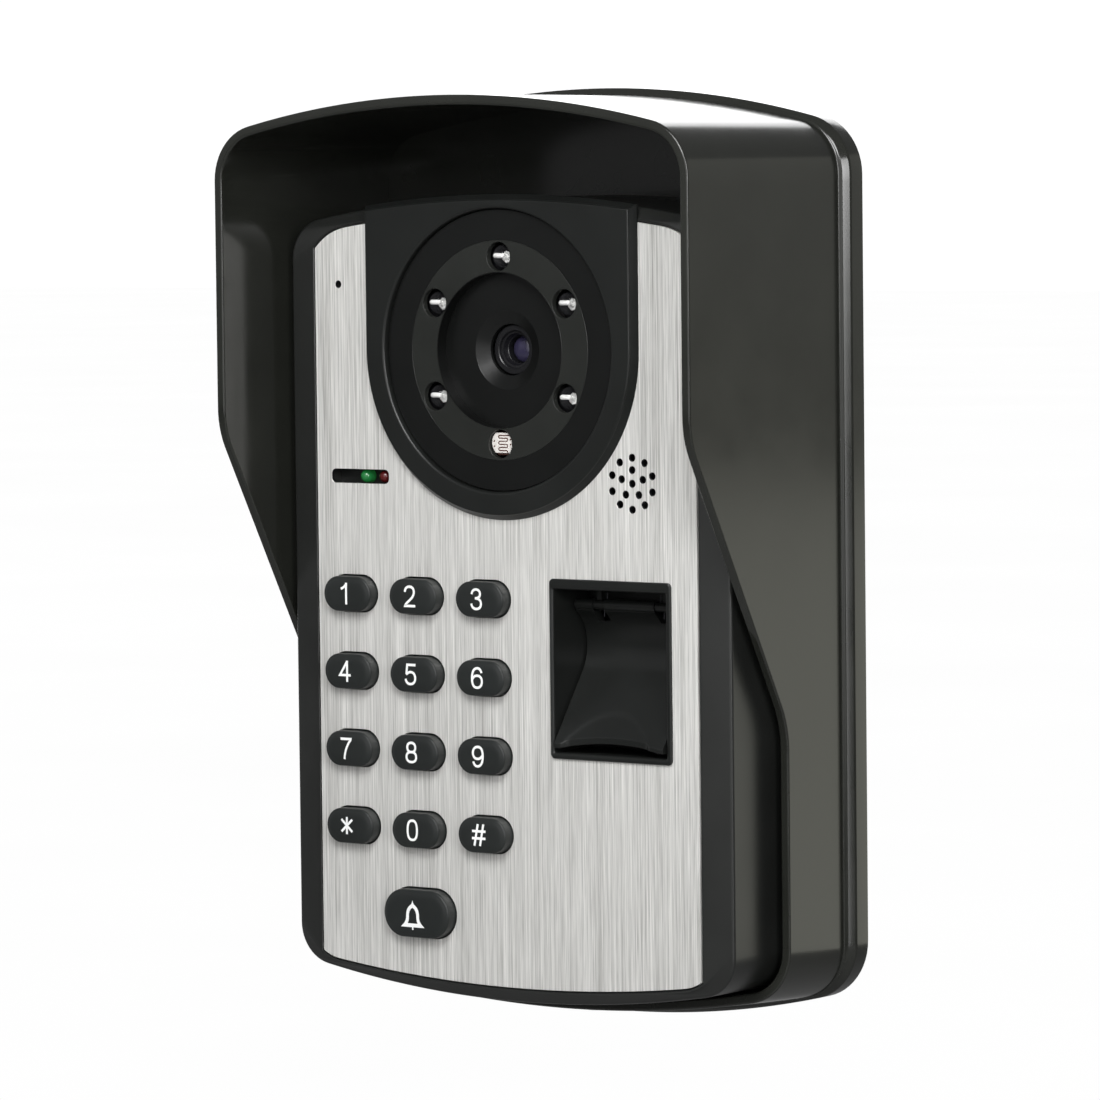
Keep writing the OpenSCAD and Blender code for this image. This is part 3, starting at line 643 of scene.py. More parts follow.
PLATE_EDGE = 0.14
HOLE_EDGE = 0.05
skin = Skin()
plate_holes = key_holes + [
    ring(SPEAKER_X + d * math.sin(2 * math.pi * i / n), SPEAKER_Z + d * math.cos(2 * math.pi * i / n), SOUND_R, 28)
    for d, n in SOUND_RINGS for i in range(n)
] + [ring(MIC_X, MIC_Z, SOUND_R, 28), slot_rect(0.0, 1.15), reader_rect(READER_LAP, 0.3)]
plate_loop = notched_plate()
rings = [
    skin.ring(plate_loop, PLATE_BACK),
    skin.ring(plate_loop, PLATE_FRONT + PLATE_EDGE),
    skin.ring(grown(plate_loop, -PLATE_EDGE * 0.3), PLATE_FRONT + PLATE_EDGE * 0.3),
    skin.ring(grown(plate_loop, -PLATE_EDGE), PLATE_FRONT),
]
skin.walls(rings)
fronts, backs = [rings[-1]], [rings[0]]
for h in plate_holes:
    hole = [
        skin.ring(h, PLATE_BACK),
        skin.ring(h, PLATE_FRONT + HOLE_EDGE),
        skin.ring(grown(h, HOLE_EDGE), PLATE_FRONT),
    ]
    skin.walls(hole)
    fronts.append(hole[-1])
    backs.append(hole[0])
skin.cap(*fronts)
skin.cap(*backs)
skin.piece("plate", MATERIALS["brushed_aluminium"], slot="brushed_aluminium", nodes=["face_plate"])


# Black sleeves over the walls of the sound holes, the mic hole and the status slot: painted shade, the dark that falls
# inside these small holes in the aluminium.
SHADE_SLEEVE_FRONT = PLATE_FRONT + 0.06
shade_sleeves = Skin()
for h in plate_holes[len(key_holes):-1]:
    walls = [
        shade_sleeves.ring(grown(h, 0.01), PLATE_BACK),
        shade_sleeves.ring(grown(h, 0.01), SHADE_SLEEVE_FRONT),
        shade_sleeves.ring(grown(h, -0.05), SHADE_SLEEVE_FRONT),
        shade_sleeves.ring(grown(h, -0.05), PLATE_BACK),
    ]
    shade_sleeves.walls(walls + walls[:1])
shade_sleeves.piece("hole_painted_shade", MATERIALS["lens_black"], slot="case_plastic")


# ---- camera panel ----

BEZEL_FRONT = bezel_lo.y
BEZEL_EDGE, BEZEL_DRAFT = 0.45, 1.05
BEZEL_TOP = -0.6
RECESS_EDGE = 0.7
U_STEPS = 72
U_SIDE = 20
U_TOP = 24


def u_loop(r, top_inset):
    """Bowl below the camera, straight sides and a top that follows the case's crown."""
    big = CASE_TOP[2] - top_inset

    def top_z(x):
        return CASE_TOP[1] - top_inset - big + math.sqrt(big * big - x * x)

    bowl = [(-r * math.cos(math.pi * i / U_STEPS), CAM_Z - r * math.sin(math.pi * i / U_STEPS)) for i in range(U_STEPS + 1)]
    z1 = top_z(r)
    right = [(r, CAM_Z + (z1 - CAM_Z) * i / U_SIDE) for i in range(1, U_SIDE + 1)]
    top = [(r - 2 * r * i / U_TOP, top_z(r - 2 * r * i / U_TOP)) for i in range(1, U_TOP)]
    return bowl + right + top + [(-x, z) for x, z in reversed(right)]


skin = Skin()
rings = [skin.ring(u_loop(NOTCH_R - 0.2, 1.0), PLATE_BACK), skin.ring(u_loop(NOTCH_R - 0.2, 1.0), PLATE_FRONT - 0.02)]
rings.append(skin.ring(u_loop(BEZEL_R, BEZEL_TOP), PLATE_FRONT - 0.02))
rings.append(skin.ring(u_loop(BEZEL_R - 0.1, BEZEL_TOP + 0.05), PLATE_FRONT - 0.3))
for i in range(9):
    turn = math.pi / 2 * i / 8
    inset = BEZEL_EDGE * (1 - math.cos(turn))
    y = BEZEL_FRONT + BEZEL_EDGE * (1 - math.sin(turn))
    rings.append(skin.ring(u_loop(BEZEL_R - BEZEL_DRAFT - inset, BEZEL_TOP + BEZEL_DRAFT + inset), y))
skin.walls(rings)
hole = [skin.ring(ring(CAM_X, CAM_Z, RECESS_R), PLATE_BACK)]
for i in range(6):
    turn = math.pi / 2 * i / 5
    r = RECESS_R + RECESS_EDGE * (1 - math.cos(turn))
    hole.append(skin.ring(ring(CAM_X, CAM_Z, r), BEZEL_FRONT + RECESS_EDGE * (1 - math.sin(turn))))
skin.walls(hole)
skin.cap(rings[-1], hole[-1])
skin.cap(rings[0], hole[0])
skin.piece("camera_panel", MATERIALS["panel_plastic"], slot="panel_plastic", nodes=["camera_bezel"])

WINDOW_FRONT = box("camera_window")[0].y
RING_OUT, RING_IN = box("lamp_ring")[1].x, 16.8
LAMP_CIRCLE = 20.1
LAMP_ANGLES = (0, 60, 120, 240, 300)
SENSOR_ANGLE = 180
LAMP_HOLE_R = 3.15

skin = lathe(Skin(), CAM_X, CAM_Z, [
    (RING_OUT + 0.02, PLATE_BACK), (RECESS_R - 0.15, PLATE_BACK), (RECESS_R - 0.15, WINDOW_FRONT + 0.15),
    (RECESS_R - 0.3, WINDOW_FRONT), (RING_OUT + 0.06, WINDOW_FRONT), (RING_OUT + 0.02, WINDOW_FRONT + 0.04),
], 128)
skin.piece("window_ring", MATERIALS["window_black"], slot="window_black", nodes=["camera_window"])


def lamp_place(angle):
    a = math.radians(angle)
    return CAM_X + LAMP_CIRCLE * math.sin(a), CAM_Z + LAMP_CIRCLE * math.cos(a)


skin = Skin()
EDGE = 0.12
outer = [skin.ring(ring(CAM_X, CAM_Z, RING_OUT, 144), y) for y in (PLATE_BACK, WINDOW_FRONT + 0.04)]
outer.append(skin.ring(ring(CAM_X, CAM_Z, RING_OUT - 0.04, 144), WINDOW_FRONT))
skin.walls(outer)
fronts, backs = [outer[-1]], [outer[0]]
inner = [skin.ring(ring(CAM_X, CAM_Z, RING_IN, 144), y) for y in (PLATE_BACK, WINDOW_FRONT + 0.04)]
inner.append(skin.ring(ring(CAM_X, CAM_Z, RING_IN + 0.01, 144), WINDOW_FRONT))
skin.walls(inner)
fronts.append(inner[-1])
backs.append(inner[0])
for angle in LAMP_ANGLES + (SENSOR_ANGLE,):
    x, z = lamp_place(angle)
    hole = [skin.ring(ring(x, z, LAMP_HOLE_R - 0.05, 48), PLATE_BACK)]
    for i in range(4):
        turn = math.pi / 2 * i / 3
        r = LAMP_HOLE_R - 0.05 + EDGE * (1 - math.cos(turn))
        hole.append(skin.ring(ring(x, z, r, 48), WINDOW_FRONT + EDGE * (1 - math.sin(turn))))
    skin.walls(hole)
    fronts.append(hole[-1])
    backs.append(hole[0])
skin.cap(*fronts)
skin.cap(*backs)
skin.piece("lamp_ring_panel", MATERIALS["lamp_ring_grey"], slot="lamp_ring_grey", nodes=["lamp_ring"])

# inner disc sunk below the lamp ring, its cone, and the stepped barrel that holds the lens
CONE_OUT, CONE_IN, CONE_DEEP, CONE_THICK = 8.45, 5.55, 1.45, 0.7
DISC_FACE = WINDOW_FRONT + 2.9
CONE_END = DISC_FACE + CONE_DEEP
DISC_R = RING_IN - 0.02
DISC_RIM = 0.15
skin = lathe(Skin(), CAM_X, CAM_Z, [
    (CONE_IN, CONE_END + CONE_THICK), (7.5, CONE_END + CONE_THICK), (7.5, DISC_FACE + CONE_THICK),
    (DISC_R, DISC_FACE + CONE_THICK), (DISC_R, WINDOW_FRONT + 0.05), (DISC_R - 0.05, WINDOW_FRONT),
    (DISC_R - DISC_RIM, WINDOW_FRONT), (DISC_R - DISC_RIM, DISC_FACE), (CONE_OUT + 0.1, DISC_FACE),
    (CONE_OUT, DISC_FACE + 0.06), (CONE_IN + 0.05, CONE_END), (CONE_IN, CONE_END + 0.1),
], 96)
skin.piece("lens_disc", MATERIALS["window_black"], slot="window_black", nodes=["lens_cone"], angle=25)

BARREL_FRONT = CONE_END + CONE_THICK + 0.3
BARREL_BACK, BARREL_FLOOR = -30.0, -33.2
skin = lathe(Skin(), CAM_X, CAM_Z, [
    (0, BARREL_BACK), (5.4, BARREL_BACK), (5.4, BARREL_FRONT + 0.2), (5.2, BARREL_FRONT), (4.3, BARREL_FRONT),
    (4.1, BARREL_FRONT + 0.15), (3.95, BARREL_FRONT + 0.75), (3.5, BARREL_FRONT + 0.8), (3.15, BARREL_FRONT + 2.0),
    (3.05, BARREL_FRONT + 2.1), (3.05, BARREL_FLOOR), (0, BARREL_FLOOR),
], 64, closed=False)
skin.piece("lens_tube", MATERIALS["lens_black"], slot="lens_black", nodes=["lens_barrel"], angle=25)

GLASS_R, GLASS_CROWN = 2.9, 1.3
glass_edge = BARREL_FLOOR - 0.2
dome = [(GLASS_R * math.cos(math.pi / 2 * i / 10), glass_edge - GLASS_CROWN * math.sin(math.pi / 2 * i / 10)) for i in range(11)]
skin = lathe(Skin(), CAM_X, CAM_Z, [(0, glass_edge + 0.2), (GLASS_R, glass_edge + 0.2)] + dome, 48, closed=False)
skin.piece("lens", MATERIALS["coated_glass"], slot="coated_glass", nodes=["lens_glass"])


# ---- infrared lamps: clear dome with a reflector cup and a bright bar inside; the bar is a painted highlight, standing in for a light's reflection on the dome ----

LAMP_R = 2.5
LAMP_CENTRE = -40.4
LAMP_BACK = box("infrared_lamps")[1].y
# Bar across each lamp, in the near-white material: a painted highlight standing in for a light reflected on the dome's
# front.
GLINT_BAR_R, GLINT_BAR_LEFT, GLINT_BAR_RIGHT, GLINT_BAR_Y = 0.58, -1.6, 0.1, -41.35
DISH_R, DISH_Y = 1.4, -39.5
domes, cups_and_glint_bars = Skin(), Skin()
for angle in LAMP_ANGLES:
    x, z = lamp_place(angle)
    cap = [
        (LAMP_R * math.cos(math.pi / 2 * i / 12), LAMP_CENTRE - LAMP_R * math.sin(math.pi / 2 * i / 12)) for i in range(13)
    ]
    lathe(domes, x, z, [(0, LAMP_BACK), (2.85, LAMP_BACK), (2.85, LAMP_BACK - 0.85), (LAMP_R, LAMP_BACK - 0.9)] + cap, 40, closed=False)
    # painted highlight: a bright bar placed inside the dome
    glint_bar = []
    for i in range(9):
        turn = math.pi * i / 8
        end = GLINT_BAR_LEFT if i <= 4 else GLINT_BAR_RIGHT
        r = max(1e-4, GLINT_BAR_R * math.sin(turn))
        glint_bar.append(cups_and_glint_bars.line([
            (x + end - GLINT_BAR_R * math.cos(turn), GLINT_BAR_Y + r * math.cos(math.pi * k / 8), z + 0.15 + r * math.sin(math.pi * k / 8))
            for k in range(16)
        ]))
    cups_and_glint_bars.walls(glint_bar)
    cups_and_glint_bars.fan(glint_bar[0])
    cups_and_glint_bars.fan(glint_bar[-1])
    # reflector cup, near-white: the silver cup is real, its brightness is partly painted reflection
    lathe(cups_and_glint_bars, x + 0.1, z - 0.2, [
        (0, DISH_Y + 0.6), (0.8, DISH_Y + 0.6), (DISH_R, DISH_Y), (DISH_R - 0.15, DISH_Y - 0.2), (0.7, DISH_Y - 0.05),
        (0.45, DISH_Y - 0.4), (0, DISH_Y - 0.5),
    ], 7, closed=False)
domes.piece("lamp_domes", MATERIALS["clear_lamp"], slot="clear_lamp", nodes=["infrared_lamps"])
cups_and_glint_bars.piece("lamp_cups_and_glint_bars", CUP_AND_GLINT_WHITE, slot="steel", angle=15)

skin = Skin()
MASK_OUT, MASK_IN = 27.0, 11.5
mask_rings = []
for y in (LAMP_BACK - 0.05, LAMP_BACK - 0.5):
    mask_rings.append([
        skin.ring(ring(CAM_X, CAM_Z, MASK_OUT), y),
        skin.ring(ring(CAM_X, CAM_Z, MASK_IN), y),
    ])
for a, b in zip(*mask_rings):
    skin.wall(a, b)
for rings in mask_rings:
    skin.cap(*rings)
skin.piece("lamp_mask", MATERIALS["lens_black"], slot="lens_black")


# ---- strokes: flat printed lines ----

def curve(start, *beziers, steps=12):
    """Points along a start point and cubic segments given as (control, control, end)."""
    out = [Vector(start)]
    for c1, c2, end in beziers:
        p0, p1, p2, p3 = out[-1], Vector(c1), Vector(c2), Vector(end)
        for i in range(1, steps + 1):
            t = i / steps
            out.append(p0 * (1 - t) ** 3 + p1 * 3 * t * (1 - t) ** 2 + p2 * 3 * t * t * (1 - t) + p3 * t ** 3)
    return [tuple(p) for p in out]


def stroke(skin, line, width, y_back, y_front, closed=False):
    """A flat ribbon of the given width along a line of (x, z)."""
    n = len(line)
    left, right = [], []
    for i, p in enumerate(line):
        before = line[i - 1] if i or closed else None
        after = line[(i + 1) % n] if i < n - 1 or closed else None
        a = (Vector(p) - Vector(before)).normalized() if before else None
        b = (Vector(after) - Vector(p)).normalized() if after else None
        a, b = a or b, b or a
        na, nb = Vector((-a.y, a.x)), Vector((-b.y, b.x))
        m = (na + nb).normalized()
        off = m * (width / 2 / max(0.45, m.dot(na)))
        left.append(tuple(Vector(p) + off))
        right.append(tuple(Vector(p) - off))
    lb, lf = skin.ring(left, y_back), skin.ring(left, y_front)
    rb, rf = skin.ring(right, y_back), skin.ring(right, y_front)
    for a, b in ((lb, lf), (lf, rf), (rf, rb), (rb, lb)):
        skin.wall(a, b, closed)
    if not closed:
        for k in (0, -1):
            skin.faces.append((lb[k], lf[k], rf[k], rb[k]))


def oval(cx, cz, a, b, power=2.2, steps=44):
    out = []
    for i in range(steps):
        t = 2 * math.pi * i / steps
        c, s = math.cos(t), math.sin(t)
        out.append((cx + math.copysign(abs(c) ** (2 / power), c) * a, cz + math.copysign(abs(s) ** (2 / power), s) * b))
    return out


# ---- light sensor with its zigzag track ----

sensor_x, sensor_z = lamp_place(SENSOR_ANGLE)
sensor_lo, sensor_hi = box("light_sensor")
SENSOR_R = 2.9
SENSOR_FLAT = 2.2
SENSOR_RAISE = 0.2
SENSOR_FACE = -41.8


def sensor_loop(inset, lower=0.0, steps=64):
    """Round can with a flat top and bottom."""
    top, bottom = SENSOR_FLAT - inset, -SENSOR_FLAT - lower + inset
    z0 = sensor_z + SENSOR_RAISE
    return [(sensor_x + x, z0 + max(bottom, min(top, z))) for x, z in ring(0, 0, SENSOR_R - inset, steps)]


skin = Skin()
rings = [skin.ring(sensor_loop(0.05), SENSOR_FACE + 0.8), skin.ring(sensor_loop(0.0), SENSOR_FACE + 0.2)]
rings += [skin.ring(sensor_loop(0.06), SENSOR_FACE + 0.06), skin.ring(sensor_loop(0.2), SENSOR_FACE)]
skin.walls(rings)
skin.fan(rings[0])
skin.fan(rings[-1])
skin.piece("photocell_face", MATERIALS["photocell"], slot="photocell", nodes=["light_sensor"])
skin = Skin()
rings = [skin.ring(sensor_loop(-0.1, 0.35), sensor_hi.y), skin.ring(sensor_loop(-0.1, 0.35), SENSOR_FACE + 0.55)]
rings.append(skin.ring(sensor_loop(0.05, 0.35), SENSOR_FACE + 0.4))
skin.walls(rings)
skin.fan(rings[0])
skin.fan(rings[-1])
skin.piece("photocell_can", TRACK, slot="photocell")

TRACK_W = 0.25
TRACK_ROWS = (1.6, 1.02, 0.36, -0.31, -0.98, -1.65)
TRACK_LEFT, TRACK_RIGHT, TRACK_EXIT = -1.02, 1.39, 2.3
PADS = ((-2.2, 0.39), (-2.2, -0.72), (2.15, 0.75), (2.15, -0.3))
zig = [(TRACK_EXIT, TRACK_ROWS[0])]
for i, (z0, z1) in enumerate(zip(TRACK_ROWS, TRACK_ROWS[1:] + (-SENSOR_FLAT - 0.35,))):
    r = (z0 - z1) / 2
    side = 1 if i % 2 else -1
    cx = TRACK_RIGHT - r if i % 2 else TRACK_LEFT + r
    zig += [(cx + side * r * math.sin(math.pi * k / 8), (z0 + z1) / 2 + r * math.cos(math.pi * k / 8)) for k in range(9)]
zig = zig[:-4]
skin = Skin()
centre_z = sensor_z + SENSOR_RAISE
stroke(skin, [(sensor_x + x, centre_z + z) for x, z in zig], TRACK_W, SENSOR_FACE + 0.02, SENSOR_FACE - 0.02)
for x, z in PADS:
    lathe(skin, sensor_x + x, centre_z + z, [(0, SENSOR_FACE + 0.02), (0.22, SENSOR_FACE + 0.02), (0.2, SENSOR_FACE - 0.03), (0, SENSOR_FACE - 0.03)], 12, closed=False)
skin.piece("photocell_track", TRACK, slot="photocell")


# ---- keys ----

CAP_GROW_X, CAP_GROW_Z = 1.45, 0.35
CAP_EDGE = 0.5
CAP_DROP = 0.6
CAP_REACH = 2.6
CAP_INSETS = (0.5, 0.7, 0.95, 1.25, 1.6, 2.0, 2.6)


def key_skin(name):
    cx, cz, w, h = key_caps[name]
    lo, hi = box(name)
    skin = Skin()
    skirt_w, skirt_h, skirt_front = w + 2 * KEY_SKIRT, h + 2 * KEY_SKIRT, hi.y - 1.1
    rings = [
        skin.ring(pill(cx, cz, skirt_w, skirt_h), hi.y),
        skin.ring(pill(cx, cz, skirt_w, skirt_h), skirt_front),
        skin.ring(pill(cx, cz, w + CAP_GROW_X, h + CAP_GROW_Z), skirt_front),
    ]
    w, h = w + CAP_GROW_X, h + CAP_GROW_Z
    edge_y = lo.y + CAP_DROP * (1 - CAP_EDGE / CAP_REACH) ** 3
    for i in range(5):
        turn = math.pi / 2 * i / 5
        inset = CAP_EDGE * (1 - math.cos(turn))
        rings.append(skin.ring(pill(cx, cz, w - 2 * inset, h - 2 * inset), edge_y + CAP_EDGE * (1 - math.sin(turn))))
    for inset in CAP_INSETS:
        y = lo.y + CAP_DROP * (1 - inset / CAP_REACH) ** 3
        rings.append(skin.ring(pill(cx, cz, w - 2 * inset, h - 2 * inset), y))
    skin.walls(rings)
    skin.fan(rings[0])
    skin.fan(rings[-1])
    return skin.piece(name + "_cap", MATERIALS["key_rubber"], name, "key_rubber", [name])


INK = 0.54
A, B = 1.33, 2.1
BUTT = B + INK / 2
GLYPHS = {
    "key_1": [
        [(0.62, -BUTT), (0.62, BUTT)],
        curve((0.56, 1.98), ((0.3, 1.6), (-0.15, 1.25), (-0.82, 1.02))),
    ],
    "key_2": [curve(
        (-1.22, 0.92), ((-1.2, 1.7), (-0.72, B), (0.02, B)), ((0.78, B), (1.24, 1.65), (1.24, 0.95)),
        ((1.24, 0.2), (0.72, -0.3), (0.05, -0.85)), ((-0.62, -1.38), (-1.05, -1.65), (-1.2, -B)),
    ) + [(1.55, -B)]],
    "key_3": [
        curve((-1.18, 1.05), ((-1.08, 1.75), (-0.6, B), (-0.02, B)), ((0.66, B), (1.1, 1.68), (1.1, 1.15)),
              ((1.1, 0.55), (0.6, 0.2), (-0.3, 0.2))),
        curve((-0.3, 0.2), ((0.75, 0.2), (A, -0.22), (A, -0.95)), ((A, -1.65), (0.8, -B), (0.02, -B)),
              ((-0.7, -B), (-1.2, -1.7), (-1.28, -0.98))),
    ],
    "key_4": [[(0.62, -BUTT), (0.62, BUTT - 0.1)], [(0.56, 2.0), (-1.36, -0.9), (1.62, -0.9)]],
    "key_5": [
        [(1.42, B - 0.02), (-0.84, B - 0.02), (-1.08, 0.02)],
        curve((-1.14, -0.06), ((-0.8, 0.3), (-0.35, 0.52), (0.1, 0.52)), ((0.85, 0.52), (A, 0.0), (A, -0.78)),
              ((A, -1.55), (0.8, -B), (0.02, -B)), ((-0.68, -B), (-1.2, -1.72), (-1.32, -1.0))),
    ],
    "key_6": [
        curve((1.24, 1.1), ((1.08, 1.78), (0.68, B), (0.12, B)), ((-0.78, B), (-A, 1.3), (-A, -0.15)),
              ((-A, -1.55), (-0.85, -B), (0.02, -B)), ((0.8, -B), (A, -1.55), (A, -0.75)),
              ((A, 0.0), (0.85, 0.5), (0.1, 0.5))),
        curve((0.1, 0.5), ((-0.5, 0.5), (-1.0, 0.2), (-1.25, -0.35))),
    ],
    "key_7": [[(-A - 0.1, B - 0.02), (A, B - 0.02)] + curve(
        (1.3, 1.85), ((0.45, 0.85), (-0.3, -0.6), (-0.42, -BUTT)))],
    "key_8": [oval(0, 1.08, 1.1, 1.02), oval(0, -1.0, A, 1.1)],
    "key_star": [
        [(0, -1.9), (0, 1.9)], [(-1.5, -1.35), (1.5, 1.35)], [(-1.5, 1.35), (1.5, -1.35)],
    ],
    "key_0": [oval(0, 0, 1.28, B, 2.5)],
    "key_hash": [
        [(-1.2, -BUTT), (-0.25, BUTT)], [(0.3, -BUTT), (1.25, BUTT)],
        [(-1.8, 0.82), (1.85, 0.82)], [(-1.85, -0.72), (1.8, -0.72)],
    ],
}
GLYPHS["key_9"] = [[(-x, -z) for x, z in line] for line in GLYPHS["key_6"]]
PRINT_SHIFT = (-0.45, 0.1)
PRINT_LIFT = 0.012
PRINT_STEP = 0.002

BELL_SHIFT = (-0.66, 0.0)
BELL_OUTER = [
    (0.0, 3.0), (0.13, 2.55), (0.34, 2.1), (0.8, 1.78), (1.2, 1.4), (1.5, 0.95), (1.7, 0.4), (1.78, -0.2),
    (1.8, -0.9), (1.95, -1.5), (2.35, -2.1), (3.25, -2.92), (0.2, -2.92), (0.2, -3.5),
]
BELL_INNER = [(0.0, 1.35), (0.42, 1.08), (0.78, 0.6), (0.98, 0.0), (1.02, -0.9), (1.1, -1.5), (1.36, -2.1)]


def mirrored(half):
    """Closed loop from the right half of a shape, anticlockwise."""
    left = [(-x, z) for x, z in half if x > 0]
    return left[::1] + [p for p in reversed(half)]


for name in KEYS:
    key_skin(name)
    cx, cz = key_caps[name][:2]
    front_y = box(name)[0].y
    ink = Skin()
    if name == "key_bell":
        loops = [[(cx + BELL_SHIFT[0] + x, cz + BELL_SHIFT[1] + z) for x, z in mirrored(h)] for h in (BELL_OUTER, BELL_INNER)]
        back = [ink.ring(h, front_y + 0.12) for h in loops]
        front = [ink.ring(h, front_y - PRINT_LIFT) for h in loops]
        for a, b in zip(back, front):
            ink.wall(a, b)
        ink.cap(*back)
        ink.cap(*front)
    else:
        dx, dz = PRINT_SHIFT
        for k, line in enumerate(GLYPHS[name]):
            shifted = [(cx + dx + x, cz + dz + z) for x, z in line]
            closed = name in ("key_8", "key_0")
            stroke(ink, shifted, INK, front_y + 0.12, front_y - PRINT_LIFT - PRINT_STEP * k, closed)
    ink.piece(name + "_print", LEGEND, name, "key_rubber")


# ---- fingerprint reader ----

RIM_Y = reader_lo.y
OPENING = (reader_lo.x + 1.0, reader_hi.x - 1.4, reader_lo.z + 1.4, reader_hi.z - 2.3)
RIM_ROUND = 0.3
LIP_ROUND = 0.7
FLOOR_Y = -29.0
sensor_glass_lo, sensor_glass_hi = box("sensor_glass")


def opening_loop(grow):
    x0, x1, z0, z1 = OPENING
    return rect(x0 - grow, x1 + grow, z0 - grow, z1 + grow, 0.3 + max(grow, 0) * 0.5)


skin = Skin()
rings = [
    skin.ring(reader_rect(READER_LAP + 0.05, 0.5), reader_hi.y),
    skin.ring(reader_rect(READER_LAP + 0.05, 0.5), PLATE_FRONT),
    skin.ring(reader_rect(0.03, 1.0), PLATE_FRONT),
]
for i in range(5):
    turn = math.pi / 2 * i / 4
    rings.append(skin.ring(reader_rect(RIM_ROUND * (1 - math.cos(turn)), 1.0), RIM_Y + RIM_ROUND * (1 - math.sin(turn))))
for i in range(4, -1, -1):
    turn = math.pi / 2 * i / 4
    rings.append(skin.ring(opening_loop(LIP_ROUND * (1 - math.cos(turn))), RIM_Y + LIP_ROUND * (1 - math.sin(turn))))
rings.append(skin.ring(opening_loop(-0.15), FLOOR_Y))
skin.walls(rings)
window = rect(sensor_glass_lo.x - 0.1, sensor_glass_hi.x + 0.1, sensor_glass_lo.z - 0.1, sensor_glass_hi.z + 0.1, 0.3)
top_w, bottom_w = skin.ring(window, FLOOR_Y), skin.ring(window, reader_hi.y)
skin.wall(top_w, bottom_w)
skin.cap(rings[-1], top_w)
skin.cap(rings[0], bottom_w)
skin.piece("reader_frame", MATERIALS["panel_plastic"], slot="panel_plastic", nodes=["fingerprint_frame"])

pin_lo, pin_hi = box("flap_hinge_pin")
HINGE_Y, HINGE_Z = (pin_lo.y + pin_hi.y) / 2, (pin_lo.z + pin_hi.z) / 2
BARREL_R = 1.3
READER_X = (reader_lo.x + reader_hi.x) / 2
LUG_X, LUG_W, NOTCH_W = 8.1, 1.2, 3.0
GUARD_IN, GUARD_OUT = 0.9, 1.05
LUG_FACE, LUG_DEEP = 0.1, 1.3
for side, word in ((-1, "left"), (1, "right")):
    x = READER_X + side * (LUG_X + NOTCH_W / 2 - 0.3 - LUG_W / 2)
    z_top = OPENING[3] + 0.2
    loop = [(HINGE_Y + LUG_DEEP, z_top), (HINGE_Y + LUG_FACE, z_top), (HINGE_Y + LUG_FACE, HINGE_Z + 0.3)]
    loop += [
        (HINGE_Y + LUG_FACE + (LUG_DEEP - LUG_FACE) * i / 16, HINGE_Z - BARREL_R * math.sin(math.pi * i / 16))
        for i in range(17)
    ]
    extrude_x(Skin(), loop, x - LUG_W / 2, x + LUG_W / 2).piece("reader_lug_" + word, MATERIALS["panel_plastic"], slot="panel_plastic")
    bend = [math.radians(75 - 150 * i / 14) for i in range(15)]
    guard = [(HINGE_Y - GUARD_OUT * math.cos(a), HINGE_Z + GUARD_OUT * math.sin(a)) for a in bend]
    guard += [(HINGE_Y - GUARD_IN * math.cos(a), HINGE_Z + GUARD_IN * math.sin(a)) for a in reversed(bend)]
    x = READER_X + side * LUG_X
    half = NOTCH_W / 2 - 0.12
    extrude_x(Skin(), guard, x - half, x + half).piece("spring_guard_" + word, MATERIALS["panel_plastic"], slot="panel_plastic")

# flap: knuckle, bowl, straight ramp with a thumb scoop and an arched lip
flap_lo, flap_hi = box("fingerprint_flap")
BOWL_Y, BOWL_Z, BOWL_R = -40.53, reader_hi.z - 14.9, 9.33
BOWL_END = math.radians(-35.4)
BOWL_START = math.atan2(HINGE_Z - BOWL_Z, HINGE_Y - BOWL_Y)
FLAP_T = 1.6
RAMP = 16.6
LIP_LOW = flap_lo.z
LIP_ARCH_R = 69.6
LIP_ARCH_Z = reader_lo.z - 66.0
COLUMNS = 44
SCOOP_X, SCOOP_HALF, SCOOP_TOP, SCOOP_DEPTH = 27.6, 10.6, -31.6, 0.8


def smooth(t):
    t = min(1.0, max(0.0, t))
    return t * t * (3 - 2 * t)


def flap_lines(x):
    """Front and back profile points at x, as (y, z), from the knuckle down to the lip."""
    lip_z = max(LIP_LOW, LIP_ARCH_Z + math.sqrt(LIP_ARCH_R ** 2 - (x - READER_X) ** 2))
    front, back = [], []
    for i in range(21):
        a = BOWL_START + (BOWL_END - BOWL_START) * i / 20
        front.append((BOWL_Y + BOWL_R * math.cos(a), BOWL_Z + BOWL_R * math.sin(a)))
        back.append((BOWL_Y + (BOWL_R + FLAP_T) * math.cos(a), BOWL_Z + (BOWL_R + FLAP_T) * math.sin(a)))
    dy, dz = math.sin(BOWL_END), -math.cos(BOWL_END)
    y0, z0 = front[-1]
    ya, za = back[-1]
    lip_top = lip_z + 1.25
    run = (lip_top - z0) / dz
    for i in range(1, 17):
        t = run * i / 16
        y, z = y0 + dy * t, z0 + dz * t
        u = (x - SCOOP_X) / SCOOP_HALF
        rim = SCOOP_TOP - 5.5 * u * u
        sink = SCOOP_DEPTH * smooth((rim - z) / 1.1) if abs(u) < 1.25 else 0.0
        front.append((y - dz * sink * -1 * -1, z + dy * sink * -1))
        back.append((ya + dy * t * 0.93, za + dz * t * 0.93))
    y, z = front[-1]
    front += [(y - 0.12, z - 0.12), (y - 0.16, z - 0.4), (y - 0.1, lip_z + 0.15), (y + 0.1, lip_z)]
    back += [(back[-1][0] - 0.05, back[-1][1] - 0.25), (back[-1][0] - 0.1, lip_z + 0.3), (back[-1][0] - 0.1, lip_z + 0.12), (back[-1][0] - 0.25, lip_z)]
    return front, back


